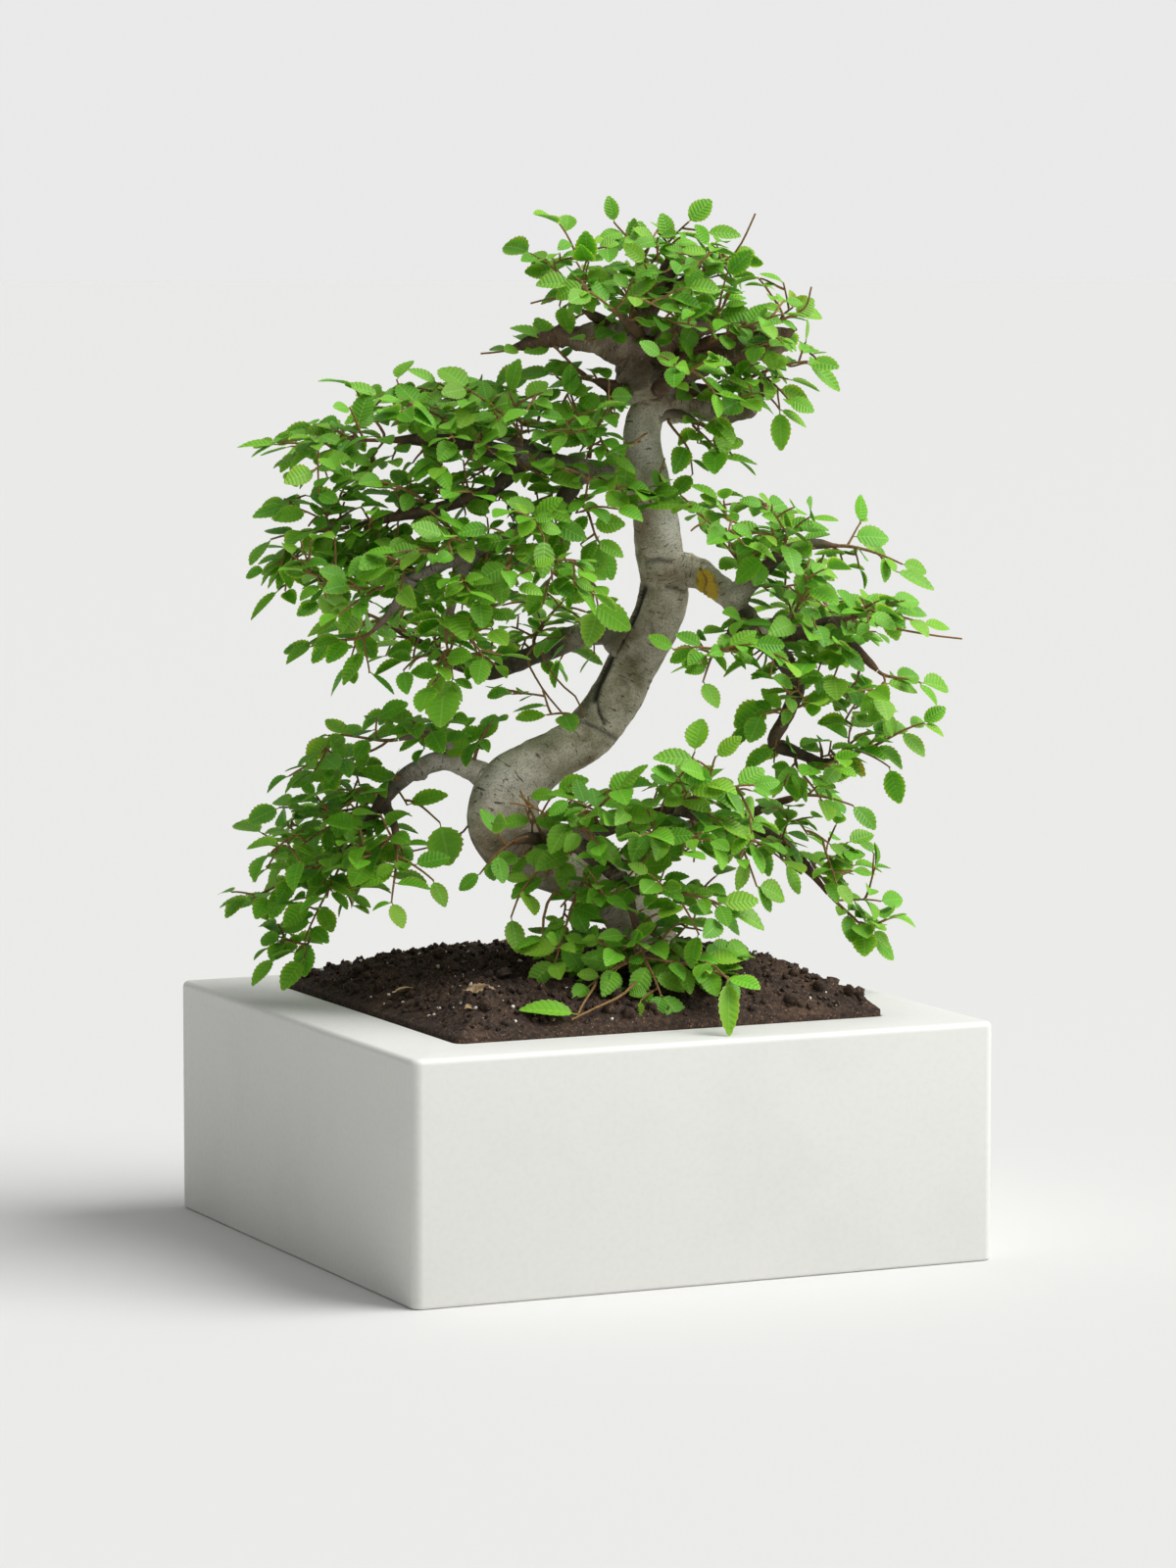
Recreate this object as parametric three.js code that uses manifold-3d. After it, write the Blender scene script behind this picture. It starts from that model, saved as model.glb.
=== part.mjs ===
// A small-leaved zelkova bonsai in a square white planter.
// Millimetres, +Z up. The origin is the middle of the planter's underside,
// +X runs along the planter's front and +Y goes to its back.
// The tree is drawn in its own frame: x to its right, y into its depth, z up.
// That frame is turned about Z against the planter by TREE_TURN.

import * as THREE from 'three';
import { mergeVertices } from 'three/addons/utils/BufferGeometryUtils.js';
import Module from 'manifold-3d';

const wasm = await Module();
wasm.setup();

// Driving dimensions of the planter
const POT_WIDTH = 300;
const POT_HEIGHT = 115;
const LIP_WIDTH = 39;
const LIP_DEPTH = 20;
const WALL = 12;
const FLOOR = 14;
const EDGE_ROUND = 3;
const CORNER_ROUND = 5;
const CORNER_STEPS = 2;
const EDGE_SOFTEN = 0.3;
const DRAIN_SIDES = 16;
const DRAIN_RADIUS = 9;
const DRAIN_SPACING = 130;
const SCREEN_WIDTH = 30;
const SCREEN_THICK = 1.4;
const SCREEN_CELLS = 2;
const SCREEN_BAR = 2.4;

// Driving dimensions of the soil and the tree
const GAP = 0.35;
const MOUND_HEIGHT = 24;
const MOUND_EDGE = 2;
const SOIL_CELLS = 9;
const SOIL_LUMP = 2.2;
const SOIL_CORNER_EASE = 1.6;
const TREE_TURN = -24.74;
const TRUNK_SIDES = 10;
const ROOT_SIDES = 5;
const LIMB_SIDES = 5;
const THIN_LIMB_SIDES = 4;
const THIN_LIMB = 4.6;
const RING_STEP = 20;
const TWIG_SIDES = 4;
const TWIG_RADIUS = 1.25;
const TWIG_TIP_RADIUS = 0.9;
const FORK_SHARE = 0.14;
const FORK_LEAN = 0.6;
const FORK_NECK = 1.2;
const LEAF_SPACING = 13;
const FIRST_LEAF = 0.42;
const LEAF_LENGTH = 20;
const LEAF_WIDTH_SHARE = 0.58;
const LEAF_THICK = 1.3;
const LEAF_RIB = 0.42;
const LEAF_SPREAD = 0.22;
const NODE_LENGTH = 1.5;
const BLADE_START = 0.13;

// Shares of a shoot's reach: how far it runs on as it left, how far before its tip it turns,
// how much it arches up there, and the number of straight steps that it is drawn with
const SHOOT_LEAVE = 0.3;
const SHOOT_ARRIVE = 0.35;
const SHOOT_ARCH = 0.07;
const SHOOT_STEPS = 8;

// Middle values of what varies from leaf to leaf, and how far each one spreads.
// Leans are in degrees from the twig, folds and arches in shares of the leaf's size.
const SIDE_LEAN = 56;
const TIP_LEAN = 34;
const LEAN_SPREAD = 12;
const DROOP = -0.14;
const DROOP_SPREAD = 0.18;
const WIDTH_SPREAD = 0.12;
const FOLD = 0.14;
const ARCH = 0.1;
const SHAPE_SPREAD = 0.08;
const OUTWARD_SHARE = 0.3;
const SHOOT_SCATTER = [0.35, 0.35, 0.2];
const LEAF_SCATTER = [0.4, 0.4, 0.3];
const SPRAY_SEED = 100;
const SOIL_SEED = 7;

// Where leaves look: up and to the light, which falls on the tree's front
const LIGHT = new THREE.Vector3(0.2, -0.55, 0.8);
const UP = new THREE.Vector3(0, 0, 1);
const TREE_AXIS = new THREE.Vector3(33, 3, 0);

const potMaterial = new THREE.MeshStandardMaterial({ color: 0xe4e4df, roughness: 0.5, metalness: 0 });
const screenMaterial = new THREE.MeshStandardMaterial({ color: 0x23272a, roughness: 0.6, metalness: 0 });
const soilMaterial = new THREE.MeshStandardMaterial({ color: 0x2b1d15, roughness: 0.95, metalness: 0 });
const barkMaterial = new THREE.MeshStandardMaterial({ color: 0x8f8678, roughness: 0.85, metalness: 0 });
const leafMaterial = new THREE.MeshStandardMaterial({ color: 0x4a9a2c, roughness: 0.5, metalness: 0 });

// The trunk's centre line, bottom to top: x, y, z and radius
const TRUNK = [
  [34, 8, 96, 20], [33, 8, 118, 22], [32, 8, 134, 20], [31, 8, 147, 16.5], [25, 6, 160, 14.5],
  [13, 3, 171, 13.5], [-2, -2, 178, 13], [-16, -7, 184, 14], [-28, -10, 192, 16], [-34, -12, 204, 17.5],
  [-32, -10, 219, 16.5], [-18, -4, 232, 13.5], [2, 3, 244, 12], [17, 8, 261, 12.5], [28, 10, 279, 13],
  [38, 10, 299, 12], [43, 8, 317, 12], [41, 4, 335, 12], [38, 0, 354, 10.5], [34, -2, 374, 9.5],
  [32, 0, 391, 9], [36, 2, 407, 8.5], [38, 4, 420, 7.5], [32, 6, 436, 6], [30, 5, 452, 4.5],
  [34, 3, 466, 3],
];

// Surface roots: they leave the trunk's foot and dive into the soil
const ROOTS = [
  { thick: [9, 4], route: [[32, 8, 142], [12, 0, 132], [-6, -6, 122], [-20, -12, 108]] },
  { thick: [9, 4], route: [[32, 8, 140], [34, -14, 132], [30, -34, 122], [26, -48, 108]] },
  { thick: [9, 4], route: [[32, 8, 140], [54, 0, 132], [72, -8, 122], [86, -12, 108]] },
  { thick: [8, 4], route: [[32, 8, 140], [46, 28, 132], [58, 44, 122], [66, 56, 108]] },
  { thick: [8, 4], route: [[32, 8, 140], [18, 28, 132], [6, 46, 122], [-4, 60, 108]] },
];

// Limbs: thickness (radius) at root and end, and the route, whose first point is
// inside what the limb grows from. Each limb carries its sprays: where on the limb
// they start, as a share of its length, and the tips that their shoots reach.
const LIMBS = {
  crown_left: {
    thick: [5, 2.2], route: [[32, 6, 435], [18, 1, 443], [4, -5, 450]],
    sprays: [{ at: 1, tips: [[-13, -12, 469], [6, -24, 474], [-2, 16, 464]] }],
  },
  crown_left_low: {
    thick: [4.5, 2], route: [[37, 3, 415], [22, 0, 414], [8, -6, 417]],
    sprays: [{ at: 1, tips: [[-12, -8, 434], [-12, -14, 420]] }],
  },
  crown_front_left: {
    thick: [4, 1.8], route: [[31, 6, 437], [27, -18, 443], [20, -34, 449]],
    sprays: [{ at: 1, tips: [[6, -48, 460], [28, -52, 458]] }],
  },
  crown_front: {
    thick: [4.5, 2], route: [[36, 2, 410], [42, -20, 415], [50, -38, 420]],
    sprays: [{ at: 1, tips: [[64, -58, 428], [40, -60, 430], [66, -46, 412]] }],
  },
  crown_back: {
    thick: [4.5, 1.8], route: [[34, 5, 429], [40, 28, 437], [47, 46, 445]],
    sprays: [{ at: 1, tips: [[58, 68, 454], [32, 66, 452], [72, 52, 446]] }],
  },
  crown_top_right: {
    thick: [3.5, 1.6], route: [[30, 5, 452], [44, 2, 461], [56, -1, 467]],
    sprays: [{ at: 1, tips: [[76, -4, 476], [64, -20, 482]] }],
  },
  crown_right: {
    thick: [5, 2.2], route: [[38, 4, 421], [54, 0, 431], [70, -4, 437], [84, -6, 441]],
    sprays: [
      { at: 1, tips: [[106, -8, 448], [98, -30, 436]] },
      { at: 0.6, tips: [[90, -34, 446], [72, -20, 468]] },
    ],
  },
  crown_right_low: {
    thick: [5, 2], route: [[38, 3, 413], [54, 6, 412], [71, 8, 412], [84, 9, 418]],
    sprays: [{ at: 1, tips: [[112, 8, 426], [102, -8, 408], [92, 32, 418]] }],
  },
  small_right: {
    thick: [3.5, 1.6], route: [[33, 1, 396], [48, -5, 401], [60, -8, 396]],
    sprays: [{ at: 1, tips: [[76, -12, 380], [66, -22, 398]] }],
  },
  upper_left: {
    thick: [7, 2.2],
    route: [
      [34, -1, 368], [18, -8, 371], [0, -15, 375], [-20, -21, 379], [-46, -26, 386],
      [-72, -28, 389], [-94, -28, 389],
    ],
    sprays: [
      { at: 1, tips: [[-144, -30, 388], [-108, -38, 405], [-126, -12, 396]] },
      { at: 0.74, tips: [[-84, -38, 409], [-70, -8, 404]] },
      { at: 0.5, tips: [[-52, -34, 414], [-32, -30, 412]] },
      { at: 0.24, tips: [[-4, -24, 410], [10, -30, 396]] },
    ],
  },
  upper_left_back: {
    thick: [4, 1.6], route: [[-6, -17, 376], [-22, 14, 384], [-42, 36, 390], [-62, 48, 394]],
    sprays: [{ at: 1, tips: [[-98, 56, 402], [-72, 74, 394], [-58, 34, 410]] }],
  },
  middle_left: {
    thick: [4, 1.8],
    route: [
      [-24, -22, 380], [-40, -31, 366], [-66, -36, 357], [-90, -37, 352], [-108, -36, 348],
    ],
    sprays: [
      { at: 1, tips: [[-146, -36, 342], [-138, -30, 358], [-136, -20, 332]] },
      { at: 0.6, tips: [[-92, -52, 370], [-98, -14, 338]] },
    ],
  },
  front_left: {
    thick: [4.8, 1.8],
    route: [
      [2, -16, 375], [-9, -38, 358], [-30, -52, 345], [-54, -59, 335], [-76, -62, 326],
      [-90, -62, 321],
    ],
    sprays: [
      { at: 1, tips: [[-122, -62, 322], [-112, -74, 308]] },
      { at: 0.66, tips: [[-62, -80, 346], [-84, -78, 338]] },
      { at: 0.4, tips: [[-20, -74, 354], [-36, -72, 326]] },
      { at: 0.16, tips: [[10, -46, 342], [6, -52, 364]] },
    ],
  },
  front_left_drop: {
    thick: [3.2, 1.6], route: [[-50, -58, 336], [-57, -64, 319], [-61, -68, 304]],
    sprays: [{ at: 1, tips: [[-58, -76, 278], [-40, -78, 302]] }],
  },
  front_left_low: {
    thick: [2.8, 1.5], route: [[-78, -62, 325], [-87, -59, 310], [-96, -56, 300]],
    sprays: [{ at: 1, tips: [[-126, -52, 292], [-98, -62, 280]] }],
  },
  back_left: {
    thick: [7, 2],
    route: [
      [27, 10, 287], [14, 22, 293], [0, 30, 291], [-12, 34, 285], [-26, 38, 279], [-42, 40, 273],
      [-58, 40, 276], [-78, 38, 287], [-92, 36, 296],
    ],
    sprays: [
      { at: 1, tips: [[-126, 32, 308], [-118, 46, 290], [-112, 26, 276]] },
      { at: 0.72, tips: [[-60, 58, 298], [-50, 72, 276]] },
      { at: 0.42, tips: [[-6, 44, 308], [-26, 58, 288]] },
    ],
  },
  right: {
    thick: [8, 2.2],
    route: [
      [43, 7, 326], [60, -1, 323], [73, -8, 313], [87, -12, 298], [103, -14, 294], [121, -14, 300],
      [136, -13, 304],
    ],
    sprays: [
      { at: 1, tips: [[168, -12, 300], [158, -26, 312]] },
      { at: 0.7, tips: [[112, -36, 320], [126, -34, 290]] },
    ],
  },
  right_front: {
    thick: [4, 1.7], route: [[82, -10, 304], [76, -30, 298], [68, -46, 292]],
    sprays: [{ at: 1, tips: [[60, -66, 276], [46, -60, 291], [84, -66, 294]] }],
  },
  right_top: {
    thick: [5, 2],
    route: [
      [76, -9, 311], [87, -10, 323], [100, -8, 334], [114, -4, 338], [126, -1, 337],
    ],
    sprays: [
      { at: 1, tips: [[158, 0, 328], [138, 6, 348]] },
      { at: 0.5, tips: [[94, -16, 358], [112, -24, 352]] },
      { at: 0.25, tips: [[68, -24, 342]] },
    ],
  },
  right_low: {
    thick: [5, 1.8],
    route: [
      [87, -12, 297], [100, -15, 283], [106, -16, 270], [101, -17, 255], [95, -18, 243],
      [106, -17, 238], [121, -16, 233], [132, -14, 237],
    ],
    sprays: [
      { at: 1, tips: [[168, -14, 252], [152, -10, 230]] },
      { at: 0.42, tips: [[114, -36, 264], [88, -36, 258]] },
      { at: 0.74, tips: [[118, -30, 216], [100, -34, 224]] },
    ],
  },
  right_end: {
    thick: [3, 1.6], route: [[121, -14, 300], [134, -18, 289], [145, -20, 278]],
    sprays: [{ at: 1, tips: [[166, -20, 272], [148, -28, 260]] }],
  },
  right_back: {
    thick: [4, 1.8], route: [[90, -12, 296], [104, 22, 301], [118, 44, 303]],
    sprays: [{ at: 1, tips: [[142, 60, 308], [128, 64, 288], [98, 64, 312]] }],
  },
  low_right: {
    thick: [6.5, 2],
    route: [
      [13, 3, 172], [32, 20, 186], [54, 30, 195], [79, 34, 199], [98, 34, 191], [112, 32, 178],
      [124, 29, 164],
    ],
    sprays: [
      { at: 1, tips: [[146, 24, 142], [150, 30, 160]] },
      { at: 0.62, tips: [[104, 54, 176], [74, 56, 186]] },
    ],
  },
  low_right_top: {
    thick: [3, 1.6], route: [[79, 34, 199], [94, 31, 207], [108, 27, 212]],
    sprays: [{ at: 1, tips: [[136, 24, 208], [122, 14, 222]] }],
  },
  front_low: {
    thick: [7, 2],
    route: [
      [-22, -9, 190], [-8, -32, 199], [8, -48, 203], [27, -61, 210], [47, -71, 217], [58, -74, 223],
    ],
    sprays: [
      { at: 1, tips: [[66, -78, 242], [84, -76, 228]] },
      { at: 0.52, tips: [[20, -76, 226], [40, -86, 204], [-4, -62, 220]] },
    ],
  },
  front_low_right: {
    thick: [3.2, 1.6], route: [[46, -71, 217], [61, -67, 211], [73, -61, 203]],
    sprays: [{ at: 1, tips: [[94, -54, 196], [86, -60, 178]] }],
  },
  front_low_middle: {
    thick: [4.8, 1.8], route: [[-2, -40, 200], [12, -56, 188], [28, -67, 178], [44, -73, 177]],
    sprays: [
      { at: 1, tips: [[68, -80, 172], [58, -86, 158]] },
      { at: 0.36, tips: [[-10, -80, 144], [14, -82, 176]] },
    ],
  },
  front_low_hanging: {
    thick: [3.2, 1.6], route: [[20, -62, 183], [27, -71, 167], [30, -77, 154]],
    sprays: [{ at: 1, tips: [[40, -92, 130], [6, -90, 134], [72, -88, 138]] }],
  },
  front_low_left: {
    thick: [4.2, 1.8], route: [[-14, -22, 195], [-23, -42, 199], [-31, -54, 198]],
    sprays: [{ at: 1, tips: [[-46, -62, 184], [-40, -76, 210]] }],
  },
  low_left: {
    thick: [6.5, 2.4],
    route: [
      [-33, -10, 217], [-50, -8, 229], [-64, -6, 233], [-78, -6, 228], [-90, -8, 219],
      [-98, -10, 207], [-108, -12, 194],
    ],
    sprays: [
      { at: 1, tips: [[-150, -16, 168], [-132, -14, 146], [-118, -30, 172]] },
      { at: 0.72, tips: [[-122, -28, 206], [-136, -20, 190]] },
      { at: 0.22, tips: [[-40, -18, 254]] },
    ],
  },
  low_left_top: {
    thick: [4, 1.6], route: [[-57, -7, 231], [-62, -9, 243], [-73, -11, 247], [-86, -12, 244]],
    sprays: [{ at: 1, tips: [[-120, -14, 246], [-126, -10, 226], [-96, -26, 256]] }],
  },
  low_left_back: {
    thick: [3.5, 1.6], route: [[-76, -6, 228], [-90, 16, 220], [-104, 32, 208]],
    sprays: [{ at: 1, tips: [[-140, 38, 200], [-126, 52, 186]] }],
  },
  low_left_front: {
    thick: [3, 1.5], route: [[-94, -9, 213], [-88, -28, 205], [-86, -42, 194]],
    sprays: [{ at: 1, tips: [[-88, -60, 170], [-68, -54, 180]] }],
  },
};

// Shoots that grow straight from the trunk: its height share, and their tips
const TRUNK_SPRAYS = [
  { at: 1, tips: [[18, -6, 493], [54, -8, 493], [40, 26, 490]] },
  { at: 0.47, tips: [[-14, -14, 256]] },
];

// Ways to bend a leaf clear of its neighbours: a turn in its own plane and a roll, in degrees
const LEAF_BENDS = [[0, 0], [16, 0], [-16, 0], [0, 25], [0, -25], [30, 25], [-30, -25], [50, 0], [-50, 0]];

// A seeded stream of numbers from 0 to 1, so that every build grows the same tree
function seededDraws(seed) {
  let state = Math.imul(seed + 1, 0x9e3779b1) >>> 0;
  return () => {
    state = (state + 0x6d2b79f5) >>> 0;
    let mixed = Math.imul(state ^ (state >>> 15), state | 1);
    mixed ^= mixed + Math.imul(mixed ^ (mixed >>> 7), mixed | 61);
    return ((mixed ^ (mixed >>> 14)) >>> 0) / 4294967296;
  };
}

function asSolid(geometry) {
  const bare = geometry.index ? geometry.clone() : mergeVertices(geometry);
  bare.deleteAttribute('normal');
  bare.deleteAttribute('uv');
  const merged = mergeVertices(bare, 1e-5);
  return new wasm.Manifold(new wasm.Mesh({
    numProp: 3,
    vertProperties: new Float32Array(merged.attributes.position.array),
    triVerts: new Uint32Array(merged.index.array),
  }));
}

function asGeometry(solid) {
  const mesh = solid.getMesh();
  const geometry = new THREE.BufferGeometry();
  geometry.setAttribute('position', new THREE.BufferAttribute(new Float32Array(mesh.vertProperties), 3));
  geometry.setIndex(new THREE.BufferAttribute(new Uint32Array(mesh.triVerts), 1));
  geometry.computeVertexNormals();
  return geometry;
}

function solidFromPoints(points, triangles) {
  return new wasm.Manifold(new wasm.Mesh({
    numProp: 3,
    vertProperties: new Float32Array(points.flatMap((point) => [point.x, point.y, point.z])),
    triVerts: new Uint32Array(triangles.flat()),
  }));
}

// A closed skin over a stack of rings with equal point counts, capped at both ends
function skinRings(rings) {
  const count = rings[0].length;
  const points = rings.flat();
  const triangles = [];
  for (let ring = 0; ring < rings.length - 1; ring += 1) {
    for (let side = 0; side < count; side += 1) {
      const next = (side + 1) % count;
      const low = ring * count;
      const high = low + count;
      triangles.push([low + side, low + next, high + next], [low + side, high + next, high + side]);
    }
  }
  const top = (rings.length - 1) * count;
  for (let side = 1; side < count - 1; side += 1) {
    triangles.push([0, side + 1, side], [top, top + side, top + side + 1]);
  }
  return solidFromPoints(points, triangles);
}

// Largest of the bodies that a cut leaves, so that loose crumbs are dropped
function largestBody(solid) {
  const bodies = solid.decompose();
  return bodies.reduce((best, body) => (body.volume() > best.volume() ? body : best));
}

// One level of the planter: a square with rounded corners, half its width across
function squareRing(half, round, height) {
  const ring = [];
  const corners = [[1, -1], [1, 1], [-1, 1], [-1, -1]];
  corners.forEach(([alongX, alongY], corner) => {
    const start = (corner - 1) * (Math.PI / 2);
    for (let step = 0; step <= CORNER_STEPS; step += 1) {
      const angle = start + (step / CORNER_STEPS) * (Math.PI / 2);
      ring.push(new THREE.Vector3(
        alongX * (half - round) + round * Math.cos(angle),
        alongY * (half - round) + round * Math.sin(angle),
        height,
      ));
    }
  });
  return ring;
}

// The planter: up the outside, over the lip, down the inside to the floor, with drain holes
function makePot() {
  const half = POT_WIDTH / 2;
  const mouth = half - LIP_WIDTH;
  const inside = half - WALL;
  const soften = EDGE_ROUND * EDGE_SOFTEN;
  const rings = [
    squareRing(half - EDGE_ROUND / 2, CORNER_ROUND - EDGE_ROUND / 2, 0),
    squareRing(half, CORNER_ROUND, EDGE_ROUND / 2),
    squareRing(half, CORNER_ROUND, POT_HEIGHT - EDGE_ROUND),
    squareRing(half - soften, CORNER_ROUND - soften, POT_HEIGHT - soften),
    squareRing(half - EDGE_ROUND, CORNER_ROUND - EDGE_ROUND, POT_HEIGHT),
    squareRing(mouth + EDGE_ROUND / 2, CORNER_ROUND, POT_HEIGHT),
    squareRing(mouth, CORNER_ROUND - EDGE_ROUND / 2, POT_HEIGHT - EDGE_ROUND / 2),
    squareRing(mouth, CORNER_ROUND - EDGE_ROUND / 2, POT_HEIGHT - LIP_DEPTH),
    squareRing(inside, CORNER_ROUND, POT_HEIGHT - LIP_DEPTH - EDGE_ROUND),
    squareRing(inside, CORNER_ROUND, FLOOR + EDGE_ROUND),
    squareRing(inside - EDGE_ROUND, CORNER_ROUND - EDGE_ROUND, FLOOR),
  ];
  const shell = skinRings(rings);
  return drainPlaces().reduce((pot, x) => {
    const drill = new THREE.CylinderGeometry(DRAIN_RADIUS, DRAIN_RADIUS, 3 * FLOOR, DRAIN_SIDES);
    drill.rotateX(Math.PI / 2);
    drill.translate(x, 0, 0);
    return pot.subtract(asSolid(drill));
  }, shell);
}

function drainPlaces() {
  return [-DRAIN_SPACING / 2, DRAIN_SPACING / 2];
}

function boxSolid(width, depth, height, x, y, z) {
  const box = new THREE.BoxGeometry(width, depth, height);
  box.translate(x, y, z);
  return asSolid(box);
}

// A square of plastic mesh that lies on the floor over a drain hole and keeps the soil in
function makeDrainScreen(x) {
  const lift = FLOOR + GAP + SCREEN_THICK / 2;
  const pitch = (SCREEN_WIDTH - SCREEN_BAR) / SCREEN_CELLS;
  let screen = boxSolid(SCREEN_WIDTH, SCREEN_WIDTH, SCREEN_THICK, x, 0, lift);
  for (let column = 0; column < SCREEN_CELLS; column += 1) {
    for (let row = 0; row < SCREEN_CELLS; row += 1) {
      const offsetX = (column - (SCREEN_CELLS - 1) / 2) * pitch;
      const offsetY = (row - (SCREEN_CELLS - 1) / 2) * pitch;
      const opening = pitch - SCREEN_BAR;
      screen = screen.subtract(boxSolid(opening, opening, 3 * SCREEN_THICK, x + offsetX, offsetY, lift));
    }
  }
  return screen;
}

// Height of the soil over the rim: a mound that falls to the lip, with seeded lumps
function soilHeight(x, y, mouth, lumps) {
  const toEdge = Math.max(Math.abs(x), Math.abs(y)) / mouth;
  const mound = MOUND_EDGE + (MOUND_HEIGHT - MOUND_EDGE) * (1 - toEdge ** 4);
  return POT_HEIGHT + mound + lumps() * SOIL_LUMP * (1 - toEdge ** 8);
}

// The root ball and soil: a block under the lip, a neck through it and the mound on top
function makeSoil(wood) {
  const mouth = POT_WIDTH / 2 - LIP_WIDTH - GAP;
  const inside = POT_WIDTH / 2 - WALL - GAP;
  const neckBase = POT_HEIGHT - LIP_DEPTH - EDGE_ROUND - GAP;
  const block = skinRings([
    squareRing(inside - EDGE_ROUND, CORNER_ROUND, FLOOR + GAP),
    squareRing(inside, CORNER_ROUND, FLOOR + EDGE_ROUND + GAP),
    squareRing(inside, CORNER_ROUND, neckBase),
    squareRing(mouth, CORNER_ROUND, POT_HEIGHT - LIP_DEPTH - GAP),
  ]);
  const draws = seededDraws(SOIL_SEED);
  const lumps = () => draws() * 2 - 1;
  const row = SOIL_CELLS + 1;
  const step = (2 * mouth) / SOIL_CELLS;
  const points = [];
  for (const level of ['base', 'top']) {
    for (let down = 0; down < row; down += 1) {
      for (let across = 0; across < row; across += 1) {
        const atCorner = (down % SOIL_CELLS === 0) && (across % SOIL_CELLS === 0);
        const ease = atCorner ? 1 - SOIL_CORNER_EASE / mouth : 1;
        const x = (across * step - mouth) * ease;
        const y = (down * step - mouth) * ease;
        const z = level === 'base' ? neckBase - GAP : soilHeight(x, y, mouth, lumps);
        points.push(new THREE.Vector3(x, y, z));
      }
    }
  }
  const neck = solidFromPoints(points, gridSlabTriangles(row));
  const screens = drainPlaces().map((x) => boxSolid(
    SCREEN_WIDTH + 2 * GAP, SCREEN_WIDTH + 2 * GAP, 2 * (SCREEN_THICK + 2 * GAP), x, 0, FLOOR + GAP,
  ));
  const cut = wasm.Manifold.union([wood, ...screens]);
  return largestBody(block.add(neck).subtract(cut));
}

// Triangles of a slab made of a flat lower grid and a bumpy upper one
function gridSlabTriangles(row) {
  const layer = row * row;
  const triangles = [];
  for (let down = 0; down < row - 1; down += 1) {
    for (let across = 0; across < row - 1; across += 1) {
      const corner = down * row + across;
      triangles.push([corner, corner + row, corner + 1], [corner + 1, corner + row, corner + row + 1]);
      const upper = corner + layer;
      triangles.push([upper, upper + 1, upper + row], [upper + 1, upper + row + 1, upper + row]);
    }
  }
  const last = row - 1;
  const rim = [];
  for (let index = 0; index < last; index += 1) rim.push(index);
  for (let index = 0; index < last; index += 1) rim.push(index * row + last);
  for (let index = last; index > 0; index -= 1) rim.push(last * row + index);
  for (let index = last; index > 0; index -= 1) rim.push(index * row);
  rim.forEach((from, index) => {
    const to = rim[(index + 1) % rim.length];
    triangles.push([from, to, to + layer], [from, to + layer, from + layer]);
  });
  return triangles;
}

// A tube along points with a radius at each: rings square to the path, closed at both ends
function makeTube(points, radii, sides) {
  const rings = [];
  let across = new THREE.Vector3(0.31, -0.95, 0.05);
  points.forEach((point, index) => {
    const before = points[Math.max(0, index - 1)];
    const after = points[Math.min(points.length - 1, index + 1)];
    const along = after.clone().sub(before).normalize();
    across = across.clone().addScaledVector(along, -across.dot(along)).normalize();
    const third = along.clone().cross(across);
    const ring = [];
    for (let side = 0; side < sides; side += 1) {
      const angle = (side / sides) * 2 * Math.PI;
      ring.push(point.clone()
        .addScaledVector(across, radii[index] * Math.cos(angle))
        .addScaledVector(third, radii[index] * Math.sin(angle)));
    }
    rings.push(ring);
  });
  return skinRings(rings);
}

function asVectors(route) {
  return route.map(([x, y, z]) => new THREE.Vector3(x, y, z));
}

// A limb's smooth centre line, with its radius running evenly from root to end
function limbLine(limb) {
  const curve = new THREE.CatmullRomCurve3(asVectors(limb.route), false, 'centripetal');
  const steps = Math.max(3, Math.round(curve.getLength() / RING_STEP));
  const points = curve.getSpacedPoints(steps);
  const radii = points.map((_, index) => THREE.MathUtils.lerp(limb.thick[0], limb.thick[1], index / steps));
  return { points, radii };
}

function trunkLine() {
  return { points: asVectors(TRUNK), radii: TRUNK.map((station) => station[3]) };
}

// A line that is thicker and longer at both ends by the same amount
function swollenLine(line, grow) {
  const points = line.points.map((point) => point.clone());
  const last = points.length - 1;
  points[0].add(points[0].clone().sub(points[1]).setLength(grow));
  points[last].add(points[last].clone().sub(points[last - 1]).setLength(grow));
  return { points, radii: line.radii.map((radius) => radius + grow) };
}

// Trunk, surface roots and limbs grown as one body; grow thickens all of it
function makeWood(lines, grow) {
  const tubes = lines.map(({ line, sides }) => {
    const swollen = swollenLine(line, grow);
    return makeTube(swollen.points, swollen.radii, sides);
  });
  return wasm.Manifold.union(tubes);
}

function lineSpans(line) {
  return line.points.slice(1).map((point, index) => point.distanceTo(line.points[index]));
}

function lineLength(line) {
  return lineSpans(line).reduce((sum, span) => sum + span, 0);
}

// A point, direction and radius at a share of the way along a line
function placeOnLine(line, share) {
  const spans = lineSpans(line);
  let left = share * lineLength(line);
  let index = 0;
  while (index < spans.length - 1 && left > spans[index]) {
    left -= spans[index];
    index += 1;
  }
  const part = Math.min(1, left / spans[index]);
  const from = line.points[index];
  const to = line.points[index + 1];
  return {
    point: from.clone().lerp(to, part),
    along: to.clone().sub(from).normalize(),
    radius: THREE.MathUtils.lerp(line.radii[index], line.radii[index + 1], part),
  };
}

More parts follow.
